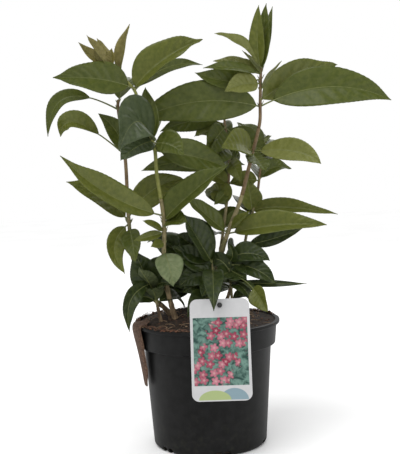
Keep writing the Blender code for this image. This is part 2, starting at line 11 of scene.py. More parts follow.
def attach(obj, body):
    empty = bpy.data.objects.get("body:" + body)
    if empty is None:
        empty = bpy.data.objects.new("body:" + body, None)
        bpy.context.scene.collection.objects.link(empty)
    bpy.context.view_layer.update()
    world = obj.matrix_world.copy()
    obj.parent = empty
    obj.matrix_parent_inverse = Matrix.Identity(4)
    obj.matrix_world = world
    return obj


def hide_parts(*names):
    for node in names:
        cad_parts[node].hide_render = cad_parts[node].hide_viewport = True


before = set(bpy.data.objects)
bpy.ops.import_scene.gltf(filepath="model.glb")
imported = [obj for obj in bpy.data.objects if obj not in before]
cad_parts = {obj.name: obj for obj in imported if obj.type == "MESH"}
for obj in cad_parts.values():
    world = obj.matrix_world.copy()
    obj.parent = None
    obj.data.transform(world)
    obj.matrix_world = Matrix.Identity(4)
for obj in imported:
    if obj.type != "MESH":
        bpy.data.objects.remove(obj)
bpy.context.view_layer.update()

MM = 0.001

# Camera.
# It stands a little over a metre in front of the label and looks slightly down on the soil, with the
# lens that a catalogue picture of a plant is taken with.
LENS_MM = 75
SENSOR_MM = 36
CAMERA_PLACE = Vector((0, -1.10, 0.34))
CAMERA_DOWN = math.radians(4.465)
CAMERA_LEFT = math.radians(0.24)
CAMERA_ROLL = math.radians(-1.86)
camera = bpy.data.objects.new("camera", bpy.data.cameras.new("camera"))
bpy.context.scene.collection.objects.link(camera)
camera.data.lens = LENS_MM
camera.data.sensor_width = SENSOR_MM
camera.matrix_world = (Matrix.Translation(CAMERA_PLACE)
                       @ Matrix.Rotation(CAMERA_LEFT, 4, "Z")
                       @ Matrix.Rotation(math.pi / 2 - CAMERA_DOWN, 4, "X")
                       @ Matrix.Rotation(CAMERA_ROLL, 4, "Z"))
bpy.context.scene.camera = camera


# Floor and light.
# A matte white sweep lies under the pot. A broad soft light stands overhead in front to the left, and
# weaker lamps fill from the right and the back. The white room is dimmer as a light than as a backdrop.
FLOOR_REACH = 4
FLOOR_SQUARES = 8
FLOOR_WHITE = (0.97, 0.97, 0.97)
FLOOR_SHADE = (0.94, 0.94, 0.94)
FLOOR_GRAIN = 0.2
ROOM_WHITE = (1, 1, 1)
ROOM_BRIGHTNESS = 0.62
OVERHEAD_STRENGTH = 1.75
OVERHEAD_BREADTH = math.radians(50)
OVERHEAD_TURN = (math.radians(28), math.radians(-24), 0)
LAMP_AIM = Vector((0, 0, 0.3))
LAMP_WIDTH = 1.2
FILL_PLACE = (1.0, -1.1, 0.7)
FILL_WATTS = 7
BACK_PLACE = (0.4, 1.2, 1.3)
BACK_WATTS = 8
SHADE_ENDS = (0.35, 0.65)
RELIEF_FINENESS = 5


def finish_step(tree, kind, feeds, **settings):
    """Adds a node to a finish, with each input fed by a number, a colour or another node's output."""
    step = tree.nodes.new("ShaderNode" + kind)
    for setting, value in settings.items():
        setattr(step, setting, value)
    for entry, feed in feeds.items():
        socket = step.inputs[entry]
        if isinstance(feed, bpy.types.NodeSocket):
            tree.links.new(feed, socket)
        else:
            socket.default_value = (*feed, 1) if socket.type == "RGBA" else feed
    return step


def speckled(name, low, high, grain, roughness, relief=0.15, detail=5, gloss=0.3):
    """A surface that wanders between two shades in grains of one size, with a fine relief to match."""
    finish = bpy.data.materials.new(name)
    finish.use_nodes = True
    tree = finish.node_tree
    surface = tree.nodes["Principled BSDF"]
    surface.inputs["Roughness"].default_value = roughness
    surface.inputs["Specular IOR Level"].default_value = gloss
    place = finish_step(tree, "TexCoord", {}).outputs["Object"]
    grains = {"Vector": place, "Scale": 1 / grain, "Detail": detail}
    patches = finish_step(tree, "TexNoise", grains, name="patches").outputs["Fac"]
    shades = finish_step(tree, "ValToRGB", {"Fac": patches}, name="shades")
    for end, position, shade in zip(shades.color_ramp.elements, SHADE_ENDS, (low, high)):
        end.position = position
        end.color = (*shade, 1)
    bumps = {"Height": patches, "Strength": relief, "Distance": grain / RELIEF_FINENESS}
    tree.links.new(shades.outputs["Color"], surface.inputs["Base Color"])
    tree.links.new(finish_step(tree, "Bump", bumps).outputs["Normal"], surface.inputs["Normal"])
    return finish


def placed(name, bm, *finishes):
    """Turns a bmesh into a smooth named object with its finishes."""
    for face in bm.faces:
        face.smooth = True
    mesh = bpy.data.meshes.new(name)
    bm.to_mesh(mesh)
    bm.free()
    for finish in finishes:
        mesh.materials.append(finish)
    piece = bpy.data.objects.new(name, mesh)
    bpy.context.scene.collection.objects.link(piece)
    return piece


def hung_lamp(name, place, watts):
    """A square soft lamp that faces the middle of the plant."""
    lamp = bpy.data.lights.new(name, "AREA")
    lamp.energy = watts
    lamp.size = LAMP_WIDTH
    holder = bpy.data.objects.new(name, lamp)
    holder.location = place
    holder.rotation_euler = (LAMP_AIM - Vector(place)).to_track_quat("-Z", "Y").to_euler()
    bpy.context.scene.collection.objects.link(holder)


sheet = bmesh.new()
bmesh.ops.create_grid(sheet, x_segments=FLOOR_SQUARES, y_segments=FLOOR_SQUARES, size=FLOOR_REACH)
floor = placed("floor", sheet, speckled("matte floor", FLOOR_SHADE, FLOOR_WHITE, FLOOR_GRAIN, 0.8, 0.02))
overhead = bpy.data.lights.new("overhead light", "SUN")
overhead.energy = OVERHEAD_STRENGTH
overhead.angle = OVERHEAD_BREADTH
overhead_holder = bpy.data.objects.new("overhead light", overhead)
overhead_holder.rotation_euler = OVERHEAD_TURN
bpy.context.scene.collection.objects.link(overhead_holder)
hung_lamp("fill lamp", FILL_PLACE, FILL_WATTS)
hung_lamp("back lamp", BACK_PLACE, BACK_WATTS)
room = bpy.data.worlds.new("white room")
room.use_nodes = True
room_light = room.node_tree.nodes["Background"]
room_light.inputs["Color"].default_value = (*ROOM_WHITE, 1)
room_light.inputs["Strength"].default_value = ROOM_BRIGHTNESS
backdrop = finish_step(room.node_tree, "Background", {"Color": ROOM_WHITE})
seen = finish_step(room.node_tree, "LightPath", {}).outputs["Is Camera Ray"]
either = finish_step(room.node_tree, "MixShader", {"Fac": seen, 1: room_light.outputs["Background"],
                                                   2: backdrop.outputs["Background"]})
room.node_tree.links.new(either.outputs["Shader"], room.node_tree.nodes["World Output"].inputs["Surface"])
bpy.context.scene.world = room
bpy.context.scene.view_settings.view_transform = "Standard"


# Pot.
# A blow-moulded nursery pot of thin matte black plastic: a tapering wall, a stepped collar to grip it by,
# a turned-out lip, and pairs of drain slots through the foot. Damp soil and lime have dusted it below.
POT_HEIGHT = 145 * MM
POT_LIP_RADIUS = 85 * MM
POT_LIP_DEPTH = 3.5 * MM
POT_COLLAR_RADIUS = 81.5 * MM
POT_COLLAR_DEPTH = 27 * MM
POT_STEP = 2 * MM
POT_SHOULDER_RADIUS = 74.5 * MM
POT_SHOULDER_HEIGHT = POT_HEIGHT - POT_COLLAR_DEPTH
POT_FOOT_RADIUS = 66.5 * MM
POT_FOOT_ROUND = 5 * MM
POT_WALL = 1.6 * MM
POT_EDGE_ROUND = 0.7 * MM
POT_STEPS = 144
WELD = 0.01 * MM
DRAIN_PAIRS = 6
DRAIN_TURN = math.radians(12)
DRAIN_WIDTH = 7 * MM
DRAIN_LENGTH = 9 * MM
DRAIN_HEIGHT = 6 * MM
DRAIN_TOOTH = 3 * MM
DRAIN_ROUND = 1.5 * MM
DRAIN_SEAM = 9 * MM
PLASTIC_BLACK = (0.0035, 0.0035, 0.0037)
PLASTIC_WORN = (0.007, 0.007, 0.0073)
PLASTIC_SCUFF = 9 * MM
DUST = (0.035, 0.037, 0.022)
DUST_TOP = 60 * MM
DUST_LEAST = 0.02
DUST_MOST = 0.3
DUST_SPECKS_PER_METRE = 160
DUST_SPECK_EDGE = (0.5, 0.75)


def turned(profile, steps):
    """Spins an outline of (radius, height) round the Z axis into a closed body."""
    bm = bmesh.new()
    corners = [bm.verts.new((radius, 0, height)) for radius, height in profile]
    sides = [bm.edges.new((corners[i - 1], corners[i])) for i in range(1, len(corners))]
    bmesh.ops.spin(bm, geom=corners + sides, axis=(0, 0, 1), cent=(0, 0, 0), angle=math.tau,
                   steps=steps, use_merge=True)
    bmesh.ops.remove_doubles(bm, verts=bm.verts, dist=WELD)
    bmesh.ops.recalc_face_normals(bm, faces=bm.faces)
    return bm


def rounded(outline, radius):
    """Cuts each corner of an open outline back into a short arc of four points."""
    eased = [outline[0]]
    for before, corner, after in zip(outline, outline[1:], outline[2:]):
        corner = Vector(corner)
        start = Vector(before) - corner
        end = Vector(after) - corner
        start = start.normalized() * min(radius, start.length / 3)
        end = end.normalized() * min(radius, end.length / 3)
        for share in (0, 0.33, 0.67, 1):
            eased.append(tuple(corner + start * (1 - share) ** 2 + end * share ** 2))
    eased.append(outline[-1])
    return eased


def softly(value, start, end, most=1):
    """Grows from nothing to the most as a node's output goes from start to end."""
    feeds = {"Value": value, "From Min": start, "From Max": end, "To Max": most}
    return finish_step(value.id_data, "MapRange", feeds).outputs["Result"]


def calc(operation, first, *others):
    """Reckons with a node's output, and with numbers or other outputs."""
    feeds = dict(enumerate((first, *others)))
    return finish_step(first.id_data, "Math", feeds, operation=operation).outputs["Value"]


def mixed(amount, below, above):
    """Lays one colour over another by the amount that a node gives."""
    feeds = {"Factor": amount, "A": below, "B": above}
    return finish_step(amount.id_data, "Mix", feeds, data_type="RGBA").outputs["Result"]


def black_plastic():
    """Matte black plastic with faint scuffs, and with dried dust that thickens towards the foot."""
    finish = speckled("black plastic", PLASTIC_BLACK, PLASTIC_WORN, PLASTIC_SCUFF, 0.5, 0.05, gloss=0.14)
    tree = finish.node_tree
    place = finish_step(tree, "TexCoord", {}).outputs["Object"]
    height = finish_step(tree, "SeparateXYZ", {"Vector": place}).outputs["Z"]
    grains = {"Vector": place, "Scale": DUST_SPECKS_PER_METRE, "Detail": 8}
    specks = finish_step(tree, "TexNoise", grains).outputs["Fac"]
    amount = calc("MULTIPLY_ADD", softly(height, DUST_TOP, 0, DUST_MOST), softly(specks, *DUST_SPECK_EDGE),
                  DUST_LEAST)
    dusty = mixed(amount, tree.nodes["shades"].outputs["Color"], DUST)
    tree.links.new(dusty, tree.nodes["Principled BSDF"].inputs["Base Color"])
    return finish


def wall_radius(height):
    """The pot's outer radius between its rounded foot and its collar."""
    share = (height - POT_FOOT_ROUND) / (POT_SHOULDER_HEIGHT - POT_FOOT_ROUND)
    return POT_FOOT_RADIUS + (POT_SHOULDER_RADIUS - POT_FOOT_RADIUS) * share


def cut_out(piece, cutters):
    """Cuts each cutter out of a piece for good and removes the cutters."""
    for cutter in cutters:
        cut = piece.modifiers.new("cut", "BOOLEAN")
        cut.operation = "DIFFERENCE"
        cut.object = cutter
    graph = bpy.context.evaluated_depsgraph_get()
    finished = bpy.data.meshes.new_from_object(piece.evaluated_get(graph))
    piece.modifiers.clear()
    piece.data = finished
    for cutter in cutters:
        bpy.data.objects.remove(cutter)


foot_arc = [(POT_FOOT_RADIUS - POT_FOOT_ROUND * (1 - math.sin(angle)), POT_FOOT_ROUND * (1 - math.cos(angle)))
            for angle in [math.radians(degrees) for degrees in range(0, 91, 15)]]
outside = rounded([
    foot_arc[-1],
    (wall_radius(DRAIN_SEAM), DRAIN_SEAM),
    (wall_radius(POT_SHOULDER_HEIGHT - POT_STEP), POT_SHOULDER_HEIGHT - POT_STEP),
    (POT_COLLAR_RADIUS - POT_STEP, POT_SHOULDER_HEIGHT),
    (POT_COLLAR_RADIUS, POT_HEIGHT - POT_LIP_DEPTH - MM),
    (POT_LIP_RADIUS, POT_HEIGHT - POT_LIP_DEPTH),
    (POT_LIP_RADIUS, POT_HEIGHT),
    (POT_COLLAR_RADIUS - POT_WALL, POT_HEIGHT),
    (POT_COLLAR_RADIUS - POT_STEP - POT_WALL, POT_SHOULDER_HEIGHT + POT_WALL),
    (wall_radius(POT_SHOULDER_HEIGHT) - POT_WALL, POT_SHOULDER_HEIGHT - POT_STEP),
    (wall_radius(DRAIN_SEAM) - POT_WALL, DRAIN_SEAM),
    (POT_FOOT_RADIUS - POT_WALL, POT_FOOT_ROUND),
    (POT_FOOT_RADIUS - POT_FOOT_ROUND, POT_WALL),
    (POT_FOOT_RADIUS - 2 * DRAIN_SEAM, POT_WALL),
    (0, POT_WALL),
], POT_EDGE_ROUND)
underside = [(0, 0), (POT_FOOT_RADIUS - 2 * DRAIN_SEAM, 0)]
pot = placed("nursery_pot", turned(underside + foot_arc[:-1] + outside, POT_STEPS), black_plastic())
drain_box = Matrix.Diagonal((DRAIN_WIDTH, DRAIN_LENGTH, DRAIN_HEIGHT * 2, 1))
slots = []
for index in range(DRAIN_PAIRS * 2):
    aside = (DRAIN_TOOTH + DRAIN_WIDTH) / 2 * (-1) ** index
    turn = Matrix.Rotation(math.tau * (index // 2) / DRAIN_PAIRS + DRAIN_TURN, 4, "Z")
    spot = Matrix.Translation((aside, -POT_FOOT_RADIUS + POT_STEP, 0))
    bm = bmesh.new()
    bmesh.ops.create_cube(bm, size=1, matrix=turn @ spot @ drain_box)
    level = [edge for edge in bm.edges if abs(edge.verts[0].co.z - edge.verts[1].co.z) < MM]
    bmesh.ops.bevel(bm, geom=level, offset=DRAIN_ROUND, segments=4, affect="EDGES", profile=0.5, material=-1)
    slots.append(placed("drain_slot", bm))
cut_out(pot, slots)
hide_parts("pot")
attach(pot, "root")


# Potting mix.
# Moist dark peat with crumbs of composted bark and pale fibres fills the pot nearly to its lip, heaped a
# little at the left. Crumbs and rusty fibres have spilled on the lip, behind and at the left.
MIX_EDGE_DROP = 1 * MM
MIX_MOUND = 15 * MM
MIX_MOUND_CENTRE = Vector((-20, 6, 0)) * MM
MIX_LUMP = 2.2 * MM
MIX_WIDE_LUMP = 18 * MM
MIX_SMALL_LUMP = 7.7 * MM
MIX_CRUMB = 1.1 * MM
MIX_CRUMBS_PER_METRE = 420
MIX_GRIT_PER_METRE = 900
MIX_RINGS = 56
PEAT_WET = (0.008, 0.005, 0.003)
PEAT_DRY = (0.038, 0.023, 0.014)
CLEARANCE = 0.3 * MM
CHIP_SEED = 11
CHIPS = 620
CHIPS_SPREAD = 0.965
CHIP_LENGTH = (1.6 * MM, 7 * MM)
CHIP_SHORTENED = (0.4, 1)
CHIP_WORN = (0.75, 1.1)
CHIP_WIDTH = (0.3, 0.8)
CHIP_THICKNESS = (0.15, 0.4)
CHIP_TIP = (-0.5, 0.5)
CHIP_LEAN = (-0.4, 0.4)
CHIP_KINDS = (0, 0, 0, 1, 1, 2)
FIBRES = 90
FIBRES_SPREAD = 0.93
FIBRE_SIDES = 3
FIBRE_CUTS = 5
FIBRE_RADIUS = 0.28 * MM
FIBRE_LENGTH = (5, 17)
FIBRE_BEND = (-0.9, 0.9)
FIBRE_LIFT = (0.3, 2.6)
LIP_CHIPS = 420
LIP_FIBRES = 130
LIP_SPILL = (math.radians(15), math.radians(250))
LIP_PILE = (0.2, 1.4)
LIP_FIBRE_STRAY = (-0.35, 0.35)
LIP_FIBRE_BEND = 0.1


def mix_height(x, y):
    """Top of the potting mix: a low lumpy mound that meets the rim."""
    reach = POT_COLLAR_RADIUS - POT_WALL
    out = min(1, Vector((x, y, 0)).length / reach)
    spot = Vector((x, y, 0))
    nearness = max(0, 1 - (spot - MIX_MOUND_CENTRE).length / reach)
    lumps = noise.noise(spot / MIX_WIDE_LUMP) + 0.6 * noise.noise(spot / MIX_SMALL_LUMP)
    edge = POT_HEIGHT - MIX_EDGE_DROP
    return edge + MIX_MOUND * nearness ** 0.8 * (1 - out ** 3) + MIX_LUMP * lumps * (1 - out ** 6)


def crumbs(x, y):
    """Crumbs on the lumps, fine and sharp."""
    spot = Vector((x, y, 0))
    grit = abs(noise.noise(spot * MIX_GRIT_PER_METRE))
    return MIX_CRUMB * (0.6 * noise.noise(spot * MIX_CRUMBS_PER_METRE) + 0.4 * grit)


gap = POT_WALL + CLEARANCE
top_radius = POT_COLLAR_RADIUS - gap
outline = [(0, gap), (POT_FOOT_RADIUS - POT_FOOT_ROUND - CLEARANCE, gap),
           (POT_FOOT_RADIUS - gap - CLEARANCE, POT_FOOT_ROUND + CLEARANCE),
           (wall_radius(POT_SHOULDER_HEIGHT) - gap - CLEARANCE, POT_SHOULDER_HEIGHT - POT_STEP),
           (POT_COLLAR_RADIUS - POT_STEP - gap, POT_SHOULDER_HEIGHT + POT_WALL + CLEARANCE)]
outline += [(top_radius * (1 - step / MIX_RINGS), POT_HEIGHT) for step in range(MIX_RINGS + 1)]
bm = turned(outline, POT_STEPS)
for vert in bm.verts:
    if vert.co.z > POT_HEIGHT - MM:
        vert.co.z = mix_height(vert.co.x, vert.co.y) + crumbs(vert.co.x, vert.co.y)
mix = placed("peat_mix", bm, speckled("moist peat", PEAT_WET, PEAT_DRY, 3 * MM, 0.9, 0.8, 10))
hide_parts("potting_mix")
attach(mix, "root")


def bar(sides, cuts):
    """A closed prism from z = 0 to 1, cut into short lengths, to be bent into a stem, a rib or a fibre."""
    bm = bmesh.new()
    bmesh.ops.create_cone(bm, cap_ends=True, segments=sides, radius1=1, radius2=1, depth=1,
                          matrix=Matrix.Translation((0, 0, 0.5)))
    long_edges = [edge for edge in bm.edges if abs(edge.verts[0].co.z - edge.verts[1].co.z) > 0.5]
    bmesh.ops.subdivide_edges(bm, edges=long_edges, cuts=cuts, use_grid_fill=True)
    return bm


def join_into(joined, part, slot=0):
    """Adds a bmesh to a joined one, all in one material slot."""
    for face in part.faces:
        face.material_index = slot
    mesh = bpy.data.meshes.new("part")
    part.to_mesh(mesh)
    part.free()
    joined.from_mesh(mesh)
    bpy.data.meshes.remove(mesh)


def scattered_spot(chance, spread):
    """A spot on top of the mix, evenly spread out to a share of its radius."""
    out = top_radius * spread * math.sqrt(chance.random())
    turn = chance.uniform(0, math.tau)
    x = out * math.cos(turn)
    y = out * math.sin(turn)
    return Vector((x, y, mix_height(x, y)))


def lip_spot(chance):
    """A spot where mix has spilled on the pot's lip, behind and at the left."""
    turn = chance.uniform(*LIP_SPILL)
    out = chance.uniform(top_radius, POT_LIP_RADIUS - MM)
    return Vector((out * math.cos(turn), out * math.sin(turn), POT_HEIGHT + chance.uniform(*LIP_PILE) * MM))


chance = random.Random(CHIP_SEED)
chips = bmesh.new()
for index in range(CHIPS + LIP_CHIPS):
    length = chance.uniform(*CHIP_LENGTH) * chance.uniform(*CHIP_SHORTENED)
    chip = bmesh.new()
    bmesh.ops.create_icosphere(chip, subdivisions=1, radius=0.5)
    for vert in chip.verts:
        vert.co *= chance.uniform(*CHIP_WORN)
    wide = length * chance.uniform(*CHIP_WIDTH)
    size = Matrix.Diagonal((length, wide, length * chance.uniform(*CHIP_THICKNESS), 1))
    tip = Matrix.Rotation(chance.uniform(*CHIP_TIP), 4, "X")
    lean = Matrix.Rotation(chance.uniform(*CHIP_LEAN), 4, "Y")
    turn = Matrix.Rotation(chance.uniform(0, math.tau), 4, "Z")
    spot = scattered_spot(chance, CHIPS_SPREAD) if index < CHIPS else lip_spot(chance)
    chip.transform(Matrix.Translation(spot) @ turn @ (tip @ lean) @ size)
    join_into(chips, chip, chance.choice(CHIP_KINDS))
chips = placed("bark_crumbs", chips,
               speckled("dark bark crumb", (0.018, 0.011, 0.007), (0.06, 0.034, 0.02), 2 * MM, 0.85, 0.5),
               speckled("red bark crumb", (0.07, 0.028, 0.015), (0.15, 0.065, 0.035), 2 * MM, 0.8, 0.5),
               speckled("pale bark crumb", (0.13, 0.085, 0.05), (0.26, 0.18, 0.11), 2 * MM, 0.8, 0.5))
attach(chips, "root")

fibres = bmesh.new()
for index in range(FIBRES + LIP_FIBRES):
    on_lip = index >= FIBRES
    if on_lip:
        start = lip_spot(chance)
        turn = math.atan2(start.x, -start.y) + chance.uniform(*LIP_FIBRE_STRAY)
    else:
        start = scattered_spot(chance, FIBRES_SPREAD)
        turn = chance.uniform(0, math.tau)
    length = chance.uniform(*FIBRE_LENGTH) * MM
    bend = LIP_FIBRE_BEND if on_lip else chance.uniform(*FIBRE_BEND)
    lift = chance.uniform(*FIBRE_LIFT) * MM
    fibre = bar(FIBRE_SIDES, FIBRE_CUTS)
    for vert in fibre.verts:
        share = vert.co.z
        heading = turn + bend * share
        spot = start + Vector((math.cos(heading), math.sin(heading), 0)) * length * share
        level = start.z if on_lip else mix_height(spot.x, spot.y) + FIBRE_RADIUS
        spot = Vector((spot.x, spot.y, level + lift * math.sin(math.pi * share)))
        side = Vector((-math.sin(heading), math.cos(heading), 0))
        vert.co = spot + (side * vert.co.x + Vector((0, 0, 1)) * vert.co.y) * FIBRE_RADIUS
    join_into(fibres, fibre, int(on_lip))
fibres = placed("peat_fibres", fibres,
                speckled("dry fibre", (0.16, 0.1, 0.055), (0.3, 0.21, 0.13), 3 * MM, 0.8),
                speckled("rusty fibre", (0.06, 0.028, 0.016), (0.15, 0.075, 0.045), 3 * MM, 0.85))
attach(fibres, "root")


# Stems.
# Five woody stems and four short shoots stand in the mix. Their bark is thin, reddish tan and finely
# cracked lengthwise, and turns green further up, where each stem runs on inside its leaves.

# Each stem: its foot radius and top radius, then the points (up, right, back) that it passes through.
STEMS = {
    "left": (2.7, 1.8, [(136, -34, -4), (158, -46, -6), (180, -68, -10), (218, -82, -14), (269, -86, -18),
                        (338, -87, -22), (395, -93, -22), (404, -92, -22)]),
    "middle": (3.0, 1.7, [(136, -32, -20), (165, -40, -21), (207, -47, -28), (265, -45, -36),
                          (319, -51, -40), (345, -52, -42), (364, -57, -42), (380, -68, -40),
                          (405, -70, -38), (417, -76, -36), (439, -100, -38)]),
    "right": (3.2, 1.7, [(136, -4, 6), (164, 1, 5), (204, 14, 2), (245, 27, 0), (283, 43, -2),
                         (321, 54, -4), (342, 60, -5), (373, 68, -6), (393, 69, -6), (437, 71, -6)]),
    "centre": (2.2, 1.4, [(136, 0, 26), (163, 4, 25), (210, 16, 20), (262, 25, 19), (295, 30, 27),
                          (337, 33, 31), (370, 29, 31), (384, 28, 30)]),
    "side": (2.2, 1.4, [(136, 22, 27), (163, 25, 27), (217, 45, 28), (242, 51, 29), (268, 59, 30),
                        (289, 65, 32), (320, 70, 34), (352, 76, 36)]),
    "low_left": (1.9, 1.4, [(136, -50, -24), (160, -55, -24), (180, -59, -22), (204, -62, -22)]),
    "low_middle": (1.9, 1.4, [(136, 2, -24), (160, 4, -23), (185, 8, -20), (216, 9, -17)]),
    "low_right": (1.9, 1.4, [(136, 30, -14), (160, 30, -13), (190, 29, -12), (222, 28, -12)]),
    "low_back": (1.9, 1.4, [(136, -14, 44), (160, -15, 45), (190, -18, 50), (222, -20, 54)]),
}

# Each mass of foliage: the stem that runs on inside it, and the heights between which it does.
MASSES = {
    "left_foliage": ("left", 250, 372),
    "left_crown": ("left", 372, 403),
    "middle_foliage": ("middle", 201, 372),
    "middle_crown": ("middle", 372, 439),
    "right_foliage": ("right", 238, 366),
    "right_crown": ("right", 366, 436),
    "centre_foliage": ("centre", 236, 383),
    "side_foliage": ("side", 220, 351),
    "low_left_foliage": ("low_left", 166, 203),
    "low_middle_foliage": ("low_middle", 166, 215),
    "low_right_foliage": ("low_right", 166, 221),
    "low_back_foliage": ("low_back", 166, 221),
}
STEM_GROUND_HEIGHT = 156
STEM_SIDES = 20
STEM_RING_SPACING = 1.2
STEM_FLARE = 0.35
STEM_FLARE_HEIGHT = 7
PLANTING_DEPTH = 8
BARK_RIDGE = 0.3 * MM
BARK_RIDGES = (900, 0.11)
BARK_FLAKES = (500, 0.5)
BARK_KNOT = 0.45 * MM
KNOTS = 6
KNOT_FIRST = 14
KNOT_SPACING = 19
KNOT_LENGTH = 1.6
BARK_CRACK = (0.07, 0.045, 0.027)
BARK_TAN = (0.25, 0.18, 0.1)
BARK_GREEN = (0.17, 0.19, 0.065)
BARK_GREEN_HEIGHTS = (165 * MM, 260 * MM)
BARK_GREEN_MOST = 0.75
BARK_STRETCH = (1, 1, 0.16)


def stem_point(stem, height):
    """Where a stem's middle is at a height, on a smooth curve through its points; in metres."""
    points = STEMS[stem][2]
    index = max(0, min(len(points) - 2, sum(point[0] <= height for point in points) - 1))
    before = points[max(0, index - 1)]
    start = points[index]
    end = points[index + 1]
    after = points[min(len(points) - 1, index + 2)]
    rise = end[0] - start[0]
    share = (height - start[0]) / rise
    squared = share ** 2
    cubed = share ** 3
    place = []
    for axis in (1, 2):
        slope_in = (end[axis] - before[axis]) / max(1, end[0] - before[0]) * rise
        slope_out = (after[axis] - start[axis]) / max(1, after[0] - start[0]) * rise
        place.append((2 * cubed - 3 * squared + 1) * start[axis] + (cubed - 2 * squared + share) * slope_in
                     + (3 * squared - 2 * cubed) * end[axis] + (cubed - squared) * slope_out)
    return Vector((place[0], place[1], height)) * MM


def stem_radius(stem, height):
    """A stem tapers evenly from its foot to its top."""
    foot, top, points = STEMS[stem]
    share = (height - points[0][0]) / (points[-1][0] - points[0][0])
    return (foot + (top - foot) * share) * MM


def rough(spot, height, round_stem, up_stem):
    """Roughness that changes quickly round a stem and slowly up it."""
    return noise.noise(Vector((spot.x * round_stem, spot.y * round_stem, height * up_stem)))


def bark_relief(spot, height, foot):
    """How far bark stands out: long ridges, a swelling at each old leaf scar, and a flare at the soil."""
    ridges = rough(spot, height, *BARK_RIDGES)
    flakes = rough(spot, height, *BARK_FLAKES)
    knots = [foot + PLANTING_DEPTH + KNOT_FIRST + KNOT_SPACING * step for step in range(KNOTS)]
    knot = sum(math.exp(-((height - at) / KNOT_LENGTH) ** 2) for at in knots)
    flare = STEM_FLARE * math.exp(-(height - foot - PLANTING_DEPTH) / STEM_FLARE_HEIGHT)
    return BARK_RIDGE * (0.7 * ridges + 0.3 * flakes) + BARK_KNOT * knot, flare


def limb(stem, low, high, sides, spacing, foot=None):
    """One tapering length of a stem between two heights, with its bark's relief where it has a foot."""
    bm = bar(sides, max(1, round((high - low) / spacing)))
    for vert in bm.verts:
        height = low + (high - low) * vert.co.z
        along = (stem_point(stem, height + 1) - stem_point(stem, height - 1)).normalized()
        aside = along.cross(Vector((0, 1, 0))).normalized()
        ahead = along.cross(aside)
        out = aside * vert.co.x + ahead * vert.co.y
        radius = stem_radius(stem, height)
        if foot is not None:
            relief, flare = bark_relief(out * radius, height, foot)
            radius = radius * (1 + max(0, flare)) + relief
        vert.co = stem_point(stem, height) + out * radius
    return bm


def bark():
    """Tan bark with red-brown cracks that run up the stem, paler and greener towards its top."""
    finish = speckled("bark", BARK_CRACK, BARK_TAN, 2.4 * MM, 0.75, 0.5, 8)
    tree = finish.node_tree
    place = finish_step(tree, "TexCoord", {}).outputs["Object"]
    height = finish_step(tree, "SeparateXYZ", {"Vector": place}).outputs["Z"]
    stretch = finish_step(tree, "Mapping", {"Vector": place, "Scale": BARK_STRETCH})
    greener = softly(height, *BARK_GREEN_HEIGHTS, BARK_GREEN_MOST)
    tint = mixed(greener, tree.nodes["shades"].outputs["Color"], BARK_GREEN)
    tree.links.new(stretch.outputs["Vector"], tree.nodes["patches"].inputs["Vector"])
    tree.links.new(tint, tree.nodes["Principled BSDF"].inputs["Base Color"])
    return finish


tan_bark = bark()
for stem in STEMS:
    foot = mix_height(*stem_point(stem, STEM_GROUND_HEIGHT).xy) / MM - PLANTING_DEPTH
    top = min(low for owner, low, high in MASSES.values() if owner == stem)
    piece = placed("woody_" + stem, limb(stem, foot, top, STEM_SIDES, STEM_RING_SPACING, foot), tan_bark)
    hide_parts("stem_" + stem)
    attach(piece, "root")


# Leaves.
# Opposite pairs of pointed leaves stand up each stem on short stalks, olive above and grey-green below,
# folded a little along a pale midrib. Their side veins are sunk, and the blade puffs up between them.
Leaf = namedtuple("Leaf", "height reach width bow sway roll fold stalk lean",
                  defaults=(0, 0, 0, 22, 0.08, 0))

